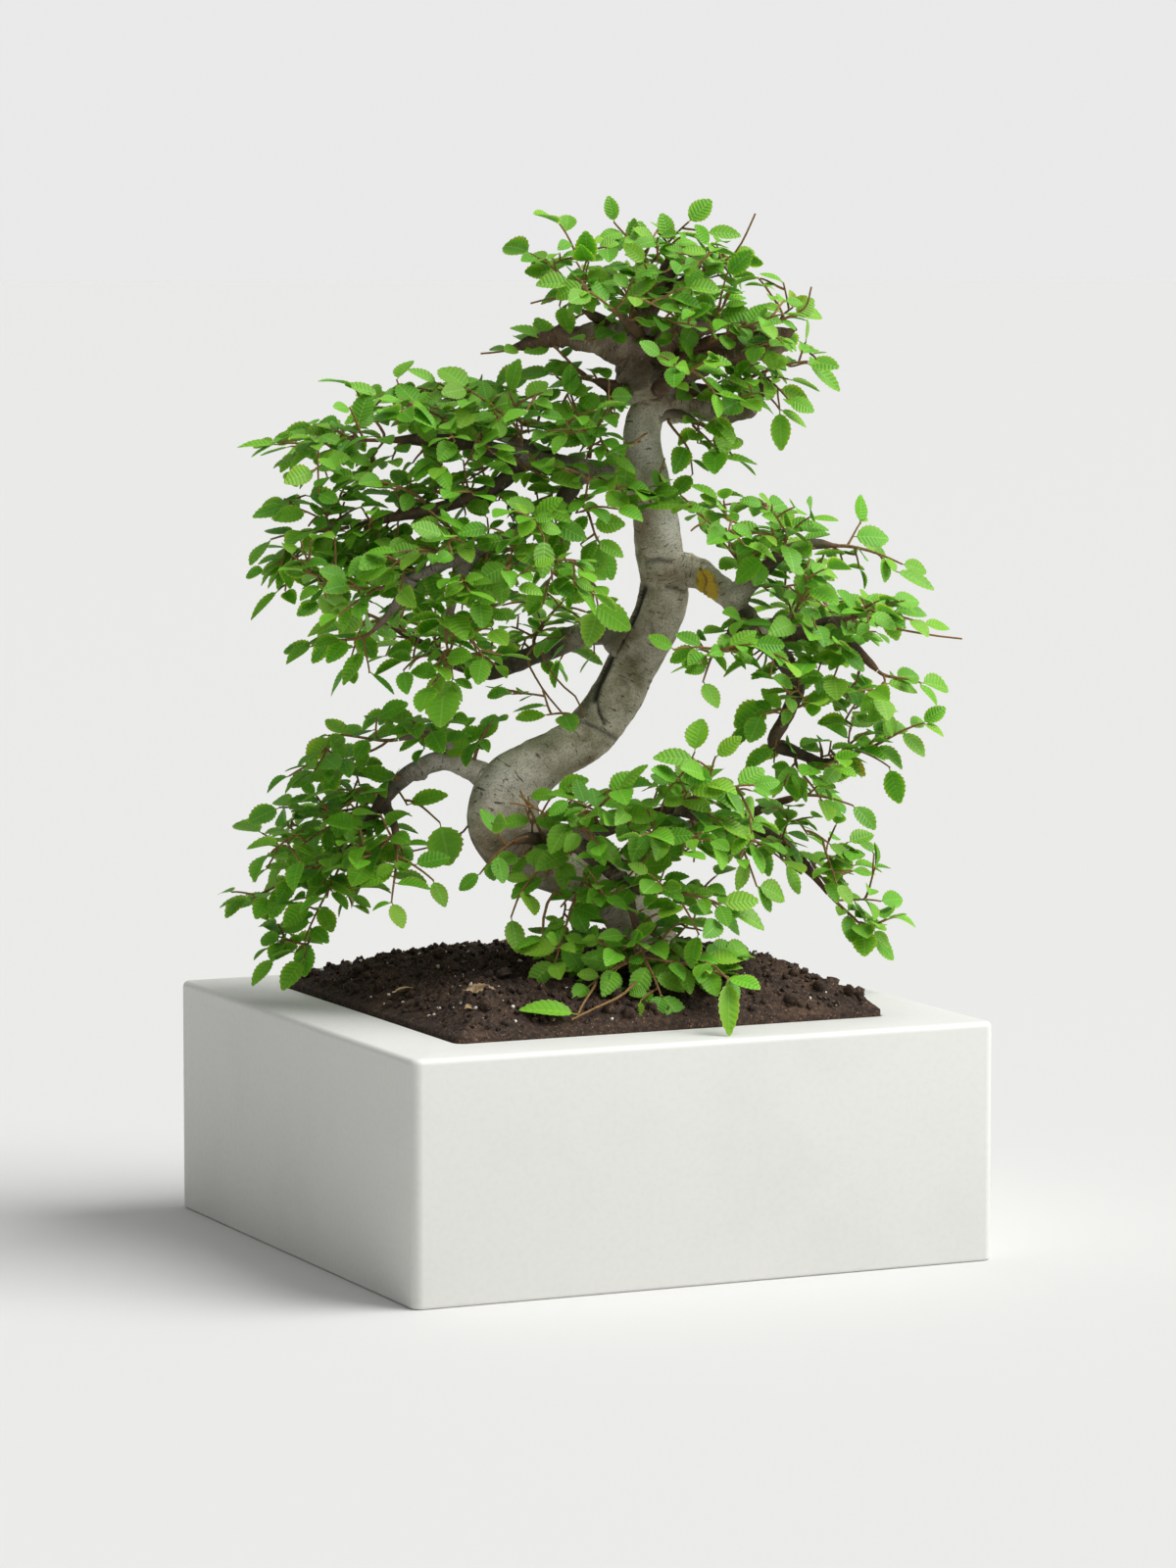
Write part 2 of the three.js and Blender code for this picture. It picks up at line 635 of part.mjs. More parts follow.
// A shoot's line: it leaves square to the bark, or in line with a limb's end, and arches to its tip
function shootLine(start, leaving, tip, radius) {
  const reach = start.distanceTo(tip);
  const first = start.clone().addScaledVector(leaving, reach * SHOOT_LEAVE);
  const second = tip.clone().lerp(start, SHOOT_ARRIVE).addScaledVector(UP, reach * SHOOT_ARCH);
  const curve = new THREE.CubicBezierCurve3(start, first, second, tip);
  const points = curve.getPoints(SHOOT_STEPS);
  const radii = points.map((_, index) => THREE.MathUtils.lerp(radius, TWIG_TIP_RADIUS, index / SHOOT_STEPS));
  return { points, radii };
}

// The shoots of one spray: the first leaves the limb, the others fork from its walls
function sprayShoots(line, spray, draws) {
  const tips = asVectors(spray.tips);
  const place = placeOnLine(line, spray.at);
  let leaving = place.along;
  let start = place.point.clone().addScaledVector(place.along, GAP);
  if (spray.at < 1) {
    const towards = tips[0].clone().sub(place.point);
    leaving = towards.addScaledVector(place.along, -towards.dot(place.along)).normalize();
    start = place.point.clone().addScaledVector(leaving, place.radius + GAP);
  }
  const mainLine = shootLine(start, leaving, tips[0], TWIG_RADIUS);
  const main = { line: mainLine, forkShare: 0, facing: shootFacing(mainLine, draws) };
  const forks = tips.slice(1).map((tip, index) => {
    const forkShare = FORK_SHARE * (index + 1);
    const fork = placeOnLine(mainLine, forkShare);
    const walls = wallNormals(frameAlong(fork.along, main.facing));
    const outward = walls[wallTowards(walls, tip.clone().sub(fork.point))];
    const root = fork.point.clone().addScaledVector(outward, fork.radius / Math.SQRT2);
    const away = outward.clone().addScaledVector(fork.along, FORK_LEAN).normalize();
    const line = shootLine(root, away, tip, TWIG_TIP_RADIUS);
    return { line, forkShare, facing: shootFacing(line, draws) };
  });
  return [main, ...forks];
}

// A leaf's outline on one side: share of its length, share of its half width
const LEAF_MARGIN = [[0.2, 0.42], [0.4, 1], [0.48, 0.83], [0.7, 0.8], [0.78, 0.55]];

// A frame that looks along a direction with its upper face to facing: along, side and up
function frameAlong(direction, facing) {
  const along = direction.clone().normalize();
  const up = facing.clone().addScaledVector(along, -facing.dot(along)).normalize();
  return { along, up, side: up.clone().cross(along) };
}

// Four corners round a point, square to a frame, in turn from the upper corner on its side
function squareCorners(point, frame, radius) {
  const reach = radius / Math.SQRT2;
  return [[1, 1], [-1, 1], [-1, -1], [1, -1]].map(([aside, above]) => point.clone()
    .addScaledVector(frame.side, aside * reach).addScaledVector(frame.up, above * reach));
}

// A skin that grows: a closed surface of shoots and leaves, each begun on four shared corners
class Skin {
  constructor() {
    this.points = [];
    this.triangles = [];
  }

  addLoop(corners) {
    const first = this.points.length;
    this.points.push(...corners);
    return corners.map((_, index) => first + index);
  }

  // Walls between two loops of four; the wall named by open is left out and returned as a loop
  addWalls(low, high, open) {
    let window = null;
    for (let side = 0; side < 4; side += 1) {
      const next = (side + 1) % 4;
      if (side === open) {
        window = [low[side], low[next], high[next], high[side]];
      } else {
        this.triangles.push([low[side], low[next], high[next]], [low[side], high[next], high[side]]);
      }
    }
    return window;
  }

  middleOf(loop) {
    const sum = loop.reduce((total, point) => total.add(this.points[point]), new THREE.Vector3());
    return sum.divideScalar(loop.length);
  }

  // Turns a window's corners so that they start where the new loop's corners do
  matchLoop(window, corners) {
    let best = window;
    let least = Infinity;
    for (let turn = 0; turn < 4; turn += 1) {
      const turned = window.map((_, index) => window[(index + turn) % 4]);
      const apart = turned
        .reduce((sum, point, index) => sum + this.points[point].distanceTo(corners[index]), 0);
      if (apart < least) {
        least = apart;
        best = turned;
      }
    }
    return best;
  }

  addCap(loop, isStart) {
    const [a, b, c, d] = isStart ? [...loop].reverse() : loop;
    this.triangles.push([a, b, c], [a, c, d]);
  }

  // A leaf's two faces from a loop of four: toothed margin, a raised rib, halves folded up
  // a little and the tip arched down
  addLeaf(window, leaf, frame) {
    const { root, length, width, fold, arch, half } = leaf;
    const at = (share, side, lift) => root.clone()
      .addScaledVector(frame.along, share * length)
      .addScaledVector(frame.side, side * (width / 2))
      .addScaledVector(frame.up, lift - arch * length * share ** 2 + fold * Math.abs(side) * (width / 2));
    const loop = this.matchLoop(window, squareCorners(this.middleOf(window), frame, TWIG_RADIUS));
    const near = this.addLoop(LEAF_MARGIN.map(([share, side]) => at(share, -side, 0)));
    const tip = this.addLoop([at(1, 0, 0)]);
    const far = this.addLoop(LEAF_MARGIN.map(([share, side]) => at(share, side, 0)).reverse());
    const [over, under] = this.addLoop([at(LEAF_RIB, 0, half), at(LEAF_RIB, 0, -half)]);
    const [sideUp, otherUp, otherDown, sideDown] = loop;
    const margin = [...near, ...tip, ...far];
    const upper = [otherUp, ...margin, sideUp];
    const lower = [otherDown, ...margin, sideDown];
    upper.forEach((from, index) => {
      this.triangles.push([over, from, upper[(index + 1) % upper.length]]);
    });
    lower.forEach((from, index) => {
      this.triangles.push([under, lower[(index + 1) % lower.length], from]);
    });
    this.triangles.push([otherUp, otherDown, near[0]], [sideDown, sideUp, far[far.length - 1]]);
  }

  toSolid() {
    return solidFromPoints(this.points, this.triangles);
  }
}

// A leaf on its own, cut off at a share of its length, to try whether it stands clear
function loneLeaf(leaf, frame, cut) {
  const skin = new Skin();
  const end = leaf.root.clone().addScaledVector(frame.along, cut * leaf.length);
  const loop = skin.addLoop(squareCorners(end, frame, TWIG_TIP_RADIUS));
  skin.addCap(loop, true);
  skin.addLeaf(loop, leaf, frame);
  return skin.toSolid();
}

// A leaf's frame, turned by a bend: in its own plane, then about its rib
function leafFrame(leaf, bend) {
  const frame = frameAlong(leaf.direction, leaf.facing);
  frame.along.applyAxisAngle(frame.up, THREE.MathUtils.degToRad(bend[0]));
  frame.up.applyAxisAngle(frame.along, THREE.MathUtils.degToRad(bend[1]));
  return frameAlong(frame.along, frame.up);
}

// A spread of a stream: its next number, run from -amount to amount
function spreadOf(draws) {
  return (amount) => (draws() * 2 - 1) * amount;
}

// A direction shifted along x, y and z by up to the amounts given
function scatter(direction, amounts, spread) {
  const [aside, deep, high] = amounts.map((amount) => spread(amount));
  return direction.clone().add(new THREE.Vector3(aside, deep, high)).normalize();
}

// The leaves of a shoot, left and right in turn with the last one at its tip, before they settle
function shootLeaves(shoot, draws) {
  const spread = spreadOf(draws);
  const { line } = shoot;
  const length = lineLength(line);
  const count = Math.max(2, Math.round(length / LEAF_SPACING));
  const firstSide = draws() < 0.5 ? 1 : -1;
  const lastShare = 1 - NODE_LENGTH / (2 * length);
  const leaves = [];
  for (let index = 0; index < count; index += 1) {
    const atTip = index === count - 1;
    const share = FIRST_LEAF + ((lastShare - FIRST_LEAF) * index) / (count - 1);
    const turn = index % 2 ? firstSide : -firstSide;
    const { point, along } = placeOnLine(line, share);
    const frame = frameAlong(along, shoot.facing);
    const lean = THREE.MathUtils.degToRad((atTip ? TIP_LEAN : SIDE_LEAN) + spread(LEAN_SPREAD));
    const direction = frame.along.clone().multiplyScalar(Math.cos(lean))
      .addScaledVector(frame.side, turn * Math.sin(lean))
      .addScaledVector(UP, DROOP + spread(DROOP_SPREAD)).normalize();
    const facing = scatter(shoot.facing, LEAF_SCATTER, spread);
    const root = point.addScaledVector(frame.side, (turn * TWIG_TIP_RADIUS) / 2);
    const size = LEAF_LENGTH * (1 + spread(LEAF_SPREAD));
    const width = size * LEAF_WIDTH_SHARE * (1 + spread(WIDTH_SPREAD));
    const fold = FOLD + spread(SHAPE_SPREAD);
    const arch = ARCH + spread(SHAPE_SPREAD);
    leaves.push({
      share, turn, root, direction, facing, length: size, width, half: LEAF_THICK / 2, fold, arch,
    });
  }
  return leaves;
}

function boxesMeet(first, second) {
  const a = first.boundingBox();
  const b = second.boundingBox();
  return [0, 1, 2].every((axis) => a.min[axis] <= b.max[axis] && b.min[axis] <= a.max[axis]);
}

function isClear(solid, others) {
  return others.every((other) => !boxesMeet(solid, other) || solid.intersect(other).isEmpty());
}

// A leaf bent until it clears everything round it, or nothing where no bend does
function settleLeaf(leaf, ownParts, neighbours) {
  for (const bend of LEAF_BENDS) {
    const frame = leafFrame(leaf, bend);
    const envelope = {
      ...leaf, length: leaf.length + 2 * GAP, width: leaf.width + 3 * GAP, half: leaf.half + GAP,
    };
    const whole = loneLeaf(envelope, frame, 0);
    const blade = loneLeaf(envelope, frame, BLADE_START);
    if (isClear(whole, neighbours) && isClear(blade, ownParts)) {
      return { ...leaf, frame, solid: loneLeaf(leaf, frame, 0) };
    }
  }
  return null;
}

// Skin of a whole spray: each shoot is a square twig with a short wall left open for every
// leaf and fork, which grow on from that wall's corners
function growShoot(skin, spray, shoot, window) {
  const { line } = shoot;
  const length = lineLength(line);
  const halfNode = NODE_LENGTH / (2 * length);
  const forks = window ? [] : spray.shoots.slice(1);
  const nodes = [
    ...forks.map((fork) => ({ share: fork.forkShare, heads: fork.line.points.at(-1), fork })),
    ...shoot.leaves.map((leaf) => ({ share: leaf.share, heads: null, leaf })),
  ].sort((first, second) => first.share - second.share);
  const cornersAt = (share) => {
    const place = placeOnLine(line, share);
    return squareCorners(place.point, frameAlong(place.along, shoot.facing), place.radius);
  };
  let loop = skin.addLoop(cornersAt(window ? FORK_NECK / length : 0));
  if (window) skin.addWalls(skin.matchLoop(window, loop.map((point) => skin.points[point])), loop, -1);
  else skin.addCap(loop, true);
  for (const node of nodes) {
    const low = skin.addLoop(cornersAt(node.share - halfNode));
    skin.addWalls(loop, low, -1);
    const high = skin.addLoop(cornersAt(Math.min(1, node.share + halfNode)));
    const place = placeOnLine(line, node.share);
    const frame = frameAlong(place.along, shoot.facing);
    const heading = node.leaf ? frame.side.clone().multiplyScalar(node.leaf.turn)
      : node.heads.clone().sub(place.point);
    const opened = skin.addWalls(low, high, wallTowards(wallNormals(frame), heading));
    if (node.leaf) skin.addLeaf(opened, node.leaf, node.leaf.frame);
    else growShoot(skin, spray, node.fork, opened);
    loop = high;
  }
  skin.addCap(loop, false);
}

// Ways that the four walls of a square twig look, in the order of its corners
function wallNormals(frame) {
  return [frame.up, frame.side.clone().negate(), frame.up.clone().negate(), frame.side];
}

// The wall that looks most nearly towards a heading
function wallTowards(walls, heading) {
  const facings = walls.map((normal) => normal.dot(heading));
  return facings.indexOf(Math.max(...facings));
}

// Every spray of the tree with its name, its shoots and their plain twigs
function listSprays(lines) {
  const owners = [
    { name: 'trunk', line: lines.trunk, sprays: TRUNK_SPRAYS },
    ...Object.entries(LIMBS).map(([name, limb]) => ({ name, line: lines[name], sprays: limb.sprays })),
  ];
  let seed = SPRAY_SEED;
  return owners.flatMap((owner) => owner.sprays.map((spray, index) => {
    const draws = seededDraws(seed);
    seed += 1;
    const shoots = sprayShoots(owner.line, spray, draws);
    const twigs = shoots.map(({ line }) => (
      makeTube(line.points, line.radii.map((radius) => radius + GAP), TWIG_SIDES)));
    return { name: `spray_${owner.name}_${index + 1}`, draws, shoots, twigs, leaves: [] };
  }));
}

// The way a shoot's leaves look: to the light, a little outward, and each shoot its own way
function shootFacing(line, draws) {
  const outward = line.points.at(-1).clone().sub(TREE_AXIS).setZ(0).normalize();
  const towards = LIGHT.clone().addScaledVector(outward, OUTWARD_SHARE);
  return scatter(towards, SHOOT_SCATTER, spreadOf(draws));
}

// Leaves settle one at a time against everything that stands before them
function growLeaves(sprays, surroundings) {
  sprays.forEach((spray) => {
    const others = sprays.filter((other) => other !== spray);
    for (const shoot of spray.shoots) {
      shoot.leaves = [];
      for (const leaf of shootLeaves(shoot, spray.draws)) {
        const foliage = others.flatMap((other) => [...other.twigs, ...other.leaves]);
        const settled = settleLeaf(leaf, [...spray.twigs, ...spray.leaves], [...surroundings, ...foliage]);
        if (settled) {
          shoot.leaves.push(settled);
          spray.leaves.push(settled.solid);
        }
      }
    }
  });
}

function makeSpray(spray) {
  const skin = new Skin();
  growShoot(skin, spray, spray.shoots[0], null);
  return skin.toSolid();
}

function addPiece(group, name, solid, material) {
  const mesh = new THREE.Mesh(asGeometry(solid), material);
  mesh.name = name;
  group.add(mesh);
}

const lines = { trunk: trunkLine() };
for (const [name, limb] of Object.entries(LIMBS)) lines[name] = limbLine(limb);
const woodLines = [
  { line: lines.trunk, sides: TRUNK_SIDES },
  ...ROOTS.map((root) => ({ line: limbLine(root), sides: ROOT_SIDES })),
  ...Object.entries(LIMBS).map(([name, limb]) => (
    { line: lines[name], sides: limb.thick[0] > THIN_LIMB ? LIMB_SIDES : THIN_LIMB_SIDES })),
];
const wood = makeWood(woodLines, 0);
const woodRoom = makeWood(woodLines, GAP);

const bonsai = new THREE.Group();
const tree = new THREE.Group();
tree.rotation.z = THREE.MathUtils.degToRad(TREE_TURN);
bonsai.add(tree);

const pot = makePot();
const soil = makeSoil(woodRoom.rotate([0, 0, TREE_TURN]));
addPiece(bonsai, 'pot', pot, potMaterial);
drainPlaces().forEach((x, index) => {
  addPiece(bonsai, `drain_screen_${index + 1}`, makeDrainScreen(x), screenMaterial);
});
addPiece(bonsai, 'soil', soil, soilMaterial);
addPiece(tree, 'trunk_and_limbs', wood, barkMaterial);

const surroundings = [woodRoom, pot.rotate([0, 0, -TREE_TURN]), soil.rotate([0, 0, -TREE_TURN])];
const sprays = listSprays(lines);
growLeaves(sprays, surroundings);
for (const spray of sprays) {
  addPiece(tree, spray.name, makeSpray(spray), leafMaterial);
}

export default bonsai;
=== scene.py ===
"""A small-leaved zelkova bonsai in a square white planter, dressed over its CAD frame.

Shapes are worked out in millimetres, and a piece is written to Blender in metres. The tree is
drawn in its own frame, x to its right, y into its depth and z up, which is turned about Z
against the planter. Its wood and its first shoots keep to the CAD tree's lines, to about 2 mm.
"""

import logging
import math
from dataclasses import dataclass, field
from enum import Enum

import bpy
import numpy as np
from numpy.typing import NDArray
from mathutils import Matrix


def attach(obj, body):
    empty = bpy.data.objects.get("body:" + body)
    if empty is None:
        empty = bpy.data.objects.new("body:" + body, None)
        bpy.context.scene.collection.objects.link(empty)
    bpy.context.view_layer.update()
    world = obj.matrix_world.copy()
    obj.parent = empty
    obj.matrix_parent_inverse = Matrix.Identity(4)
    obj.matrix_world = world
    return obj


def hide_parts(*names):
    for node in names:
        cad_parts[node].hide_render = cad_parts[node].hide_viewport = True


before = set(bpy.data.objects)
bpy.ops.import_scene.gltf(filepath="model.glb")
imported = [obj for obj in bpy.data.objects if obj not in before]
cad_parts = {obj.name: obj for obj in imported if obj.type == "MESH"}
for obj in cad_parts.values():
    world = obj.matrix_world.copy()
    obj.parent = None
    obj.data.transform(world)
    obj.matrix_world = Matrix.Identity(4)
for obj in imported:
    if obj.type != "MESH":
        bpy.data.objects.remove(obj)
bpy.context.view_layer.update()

Array = NDArray[np.float64]
Indices = NDArray[np.int64]
Vector = tuple[float, float, float]

log = logging.getLogger("bonsai")

METRES = 0.001
GAP = 0.35
UP = np.array([0.0, 0.0, 1.0])

# Where leaves look: up and to the light, which falls on the tree's front
LIGHT = np.array([0.2, -0.55, 0.8])
TREE_AXIS = np.array([33.0, 3.0, 0.0])


class Axes(Enum):
    """The frame that a shape is worked out in, by its turn about Z against the planter."""

    PLANTER = 0.0
    TREE = -24.74


class Slot(Enum):
    """The record's material slots."""

    POT = "pot"
    SCREEN = "screen"
    SOIL = "soil"
    BARK = "bark"
    LEAF = "leaf"


# Arrays and vectors


def unit(vectors: Array) -> Array:
    """Scale vectors to length one."""
    return vectors / np.maximum(np.linalg.norm(vectors, axis=-1, keepdims=True), 1e-12)


def square_to(vectors: Array, directions: Array) -> Array:
    """Take out of vectors what lies along unit directions, and scale the rest to one."""
    return unit(vectors - np.sum(vectors * directions, axis=-1, keepdims=True) * directions)


def smooth_step(values: Array, low: float, high: float) -> Array:
    """Run from 0 at low to 1 at high along 3t^2 - 2t^3."""
    share = np.clip((values - low) / (high - low), 0, 1)
    return share * share * (3 - 2 * share)


def lattice_noise(places: Array, grain: float, seed: int) -> Array:
    """Smooth noise from -1 to 1.

    Each corner of a cubic lattice gets a number hashed from its place, and the eight numbers
    round a place are blended by 3t^2 - 2t^3 along each axis.

    Args:
        places: points, their last axis x, y and z.
        grain: the lattice's spacing, in the points' unit.
        seed: which of the many noises it is.

    Returns:
        One value for each point.
    """
    scaled = places / grain
    cell = np.floor(scaled).astype(np.int64)
    part = scaled - cell
    blend = part * part * (3 - 2 * part)
    total = np.zeros(places.shape[:-1])
    for corner in np.ndindex(2, 2, 2):
        at = cell + np.array(corner)
        mixed = (at[..., 0] * 73856093) ^ (at[..., 1] * 19349663) ^ (at[..., 2] * 83492791)
        mixed = (mixed ^ (seed * 40503)) & 0xFFFFFFFF
        mixed = ((mixed ^ (mixed >> 13)) * 1274126177) & 0xFFFFFFFF
        mixed = ((mixed ^ (mixed >> 16)) * 668265263) & 0xFFFFFFFF
        value = ((mixed >> 8) & 0xFFFF) / 32767.5 - 1
        total += value * np.prod(np.where(corner, blend, 1 - blend), axis=-1)
    return total


def rough_noise(places: Array, grain: float, seed: int, octaves: int = 3) -> Array:
    """Sum of lattice noises, each half as wide and half as high as the one before."""
    layers = [lattice_noise(places, grain / 2**step, seed + step) / 2**step
              for step in range(octaves)]
    return np.sum(layers, axis=0)


# Where the camera stands, in the tree's frame
EYE = np.array([5.5, -2657.0, 483.5])


def seen_from_front(points: Array) -> Array:
    """Where the camera sees points, run on straight to the tree's middle plane."""
    scale = EYE[1] / (EYE[1] - points[:, 1:2])
    return EYE + (points - EYE) * scale


def smooth_route(stations: Array, shares: Array) -> Array:
    """The centripetal Catmull-Rom curve through stations.

    Between two stations it is a cubic whose end slopes come from the neighbours, weighed by the
    square root of their distances. The first and last spans are mirrored past the ends.

    Args:
        stations: points in rows, whose first three columns are x, y and z.
        shares: how far along the curve, from 0 to 1, by count of spans.

    Returns:
        One row for each share, with the stations' columns.
    """
    padded = np.vstack([2 * stations[0] - stations[1], stations, 2 * stations[-1] - stations[-2]])
    spans = len(stations) - 1
    run = np.clip(shares, 0, 1) * spans
    index = np.minimum(run.astype(int), spans - 1)
    part = (run - index)[:, None]
    before, start, end, after = (padded[index + step] for step in range(4))
    first, middle, last = (
        np.sqrt(np.linalg.norm((b - a)[:, :3], axis=1, keepdims=True))
        for a, b in ((before, start), (start, end), (end, after))
    )
    slope_in = ((start - before) / first - (end - before) / (first + middle)
                + (end - start) / middle) * middle
    slope_out = ((end - start) / middle - (after - start) / (middle + last)
                 + (after - end) / last) * middle
    square = 3 * (end - start) - 2 * slope_in - slope_out
    cube = 2 * (start - end) + slope_in + slope_out
    return start + part * (slope_in + part * (square + part * cube))


def even_route(stations: Array, steps: int) -> Array:
    """Points at equal lengths along the smooth curve through stations, both ends included."""
    shares = np.linspace(0, 1, 201)
    fine = smooth_route(stations, shares)
    lengths = np.linalg.norm(np.diff(fine[:, :3], axis=0), axis=1)
    run = np.concatenate([[0], np.cumsum(lengths)])
    return smooth_route(stations, np.interp(np.linspace(0, run[-1], steps + 1), run, shares))


@dataclass(frozen=True)
class Place:
    """A point on a line, with the line's direction and radius there."""

    point: Array
    along: Array
    radius: float


@dataclass(frozen=True)
class Line:
    """A centre line with a radius at each of its points."""

    points: Array
    radii: Array

    @property
    def run(self) -> Array:
        """Length from the line's start to each of its points."""
        spans = np.linalg.norm(np.diff(self.points, axis=0), axis=1)
        return np.concatenate([[0], np.cumsum(spans)])

    @property
    def length(self) -> float:
        """Length from end to end."""
        return float(self.run[-1])

    def place(self, share: float) -> Place:
        """The place at a share of the line's length."""
        run = self.run
        at = share * run[-1]
        index = int(np.clip(np.searchsorted(run, at) - 1, 0, len(run) - 2))
        part = min(1.0, (at - run[index]) / (run[index + 1] - run[index]))
        start, end = self.points[index], self.points[index + 1]
        radius = self.radii[index] * (1 - part) + self.radii[index + 1] * part
        return Place(start + part * (end - start), unit(end - start), float(radius))


class Draws:
    """The seeded stream of numbers from 0 to 1 that the CAD tree grew from."""

    WORD = 0xFFFFFFFF

    def __init__(self, seed: int) -> None:
        """Begin the stream that belongs to a seed."""
        self.state = ((seed + 1) * 0x9E3779B1) & self.WORD

    def number(self) -> float:
        """The next number, from 0 to 1."""
        self.state = (self.state + 0x6D2B79F5) & self.WORD
        mixed = ((self.state ^ (self.state >> 15)) * (self.state | 1)) & self.WORD
        mixed ^= (mixed + (mixed ^ (mixed >> 7)) * (mixed | 61)) & self.WORD
        return ((mixed ^ (mixed >> 14)) & self.WORD) / 2**32

    def spread(self, amount: float) -> float:
        """The next number, run from -amount to amount."""
        return (self.number() * 2 - 1) * amount

    def scatter(self, direction: Array, amounts: Vector) -> Array:
        """A direction shifted along x, y and z by up to the amounts."""
        return unit(direction + np.array([self.spread(amount) for amount in amounts]))


# Meshes


@dataclass
class Surface:
    """Points and faces of a piece in millimetres, with what its finish reads from them.

    Values at faces are listed for the four-sided faces first and the triangles after them.
    """

    points: Array
    quads: Indices = field(default_factory=lambda: np.empty((0, 4), int))
    triangles: Indices = field(default_factory=lambda: np.empty((0, 3), int))
    at_points: dict[str, Array] = field(default_factory=dict)
    at_faces: dict[str, Array] = field(default_factory=dict)
    chart: Array | None = None


def repeated(faces: Indices, copies: int, size: int) -> Indices:
    """The faces of a shape of size points, once for each of its copies laid end to end."""
    shifts = np.arange(copies)[:, None, None] * size
    return (faces[None] + shifts).reshape(-1, faces.shape[1])


def ring_quads(rings: int, sides: int) -> Indices:
    """Four-sided faces of a wall of rings that look away from the line they run along."""
    ring = np.arange(rings - 1)[:, None] * sides
    side = np.arange(sides)[None]
    after = (side + 1) % sides
    corners = [ring + side, ring + after, ring + sides + after, ring + sides + side]
    return np.stack(np.broadcast_arrays(*corners), axis=-1).reshape(-1, 4)


def end_fans(rings: int, sides: int) -> Indices:
    """Triangles that close a wall of rings, round two middles listed after its points."""
    side = np.arange(sides)
    after = (side + 1) % sides
    size, top = rings * sides, (rings - 1) * sides
    return np.concatenate([
        np.stack([np.full(sides, size), after, side], axis=1),
        np.stack([np.full(sides, size + 1), top + side, top + after], axis=1),
    ])


def ring_frames(points: Array) -> tuple[Array, Array, Array]:
    """Directions along lines and two square to them.

    The first one across is the cross product of the direction and that one of the three axes
    that the whole line keeps furthest away from, so that it never flips over.

    Args:
        points: lines, steps along each and x, y and z.

    Returns:
        Unit vectors along, across, and square to both, in the shape of the points.
    """
    along = unit(np.gradient(points, axis=1))
    nearness = np.abs(along).max(axis=1)
    axis = np.eye(3)[np.argmin(nearness, axis=1)][:, None]
    across = unit(np.cross(along, axis))
    return along, across, np.cross(along, across)


def sweep(points: Array, radii: Array, sides: int, swell: Array | None = None) -> Surface:
    """Closed tubes along lines that have the same number of steps.

    A point of a tube stands off its line by radius times (cos a across + sin a third), for the
    angle a round the line, and the ends are closed by fans.

    Args:
        points: lines, steps and x, y and z.
        radii: lines and steps.
        sides: number of faces round a tube.
        swell: what is added to the radius, by line, step and side.

    Returns:
        The tubes, with the radius as girth and a place on the unrolled bark as grain.
    """
    lines, steps, _ = points.shape
    _, across, third = ring_frames(points)
    angle = 2 * math.pi * np.arange(sides) / sides
    wheel = (np.cos(angle)[None, None, :, None] * across[:, :, None]
             + np.sin(angle)[None, None, :, None] * third[:, :, None])
    reach = np.repeat(radii[:, :, None], sides, axis=2)
    if swell is not None:
        reach = reach + swell
    walls = points[:, :, None] + wheel * reach[..., None]
    spans = np.linalg.norm(np.diff(points, axis=1), axis=2)
    run = np.concatenate([np.zeros((lines, 1)), np.cumsum(spans, axis=1)], axis=1)
    girth = np.repeat(radii[:, :, None], sides, axis=2)
    grain = np.stack([girth * np.cos(angle), girth * np.sin(angle),
                      np.repeat(run[:, :, None], sides, axis=2)], axis=-1)
    size = steps * sides + 2
    ends = np.stack([points[:, 0], points[:, -1]], axis=1)
    end_grain = np.zeros((lines, 2, 3))
    end_grain[:, 1, 2] = run[:, -1]
    shell = np.concatenate([walls.reshape(lines, -1, 3), ends], axis=1).reshape(-1, 3)
    return Surface(
        shell,
        repeated(ring_quads(steps, sides), lines, size),
        repeated(end_fans(steps, sides), lines, size),
        {
            "girth": np.concatenate([girth.reshape(lines, -1), radii[:, [0, -1]]], axis=1).ravel(),
            "grain": np.concatenate([grain.reshape(lines, -1, 3), end_grain], axis=1)
            .reshape(-1, 3) * METRES,
        },
    )


def make_piece(name: str, surface: Surface, axes: Axes, finish: bpy.types.Material,
               crease: float = 50.0) -> bpy.types.Object:
    """Write a surface into a mesh object that sits at the origin.

    Args:
        name: the piece's name.
        surface: its points and faces, in millimetres.
        axes: the frame that the points are in.
        finish: its material.
        crease: edges that bend by more degrees than this stay sharp.

    Returns:
        The object, in metres and in the row's frame.
    """
    turn = math.radians(axes.value)
    spin = np.array([[math.cos(turn), math.sin(turn), 0],
                     [-math.sin(turn), math.cos(turn), 0],
                     [0, 0, 1]])
    mesh = bpy.data.meshes.new(name)
    placed = surface.points @ spin * METRES
    mesh.from_pydata(placed.tolist(), [], surface.quads.tolist() + surface.triangles.tolist())
    for key, values in surface.at_points.items():
        kind, slot = ("FLOAT_VECTOR", "vector") if values.ndim == 2 else ("FLOAT", "value")
        attribute = mesh.attributes.new(key, kind, "POINT")
        attribute.data.foreach_set(slot, values.astype(np.float32).ravel())
    for key, values in surface.at_faces.items():
        attribute = mesh.attributes.new(key, "FLOAT", "FACE")
        attribute.data.foreach_set("value", values.astype(np.float32))
    if surface.chart is not None:
        corners = np.concatenate([surface.quads.ravel(), surface.triangles.ravel()])
        layer = mesh.uv_layers.new(name="chart")
        layer.data.foreach_set("uv", surface.chart[corners].astype(np.float32).ravel())
    mesh.shade_smooth()
    mesh.set_sharp_from_angle(angle=math.radians(crease))
    mesh.materials.append(finish)
    piece = bpy.data.objects.new(name, mesh)
    bpy.context.scene.collection.objects.link(piece)
    return piece


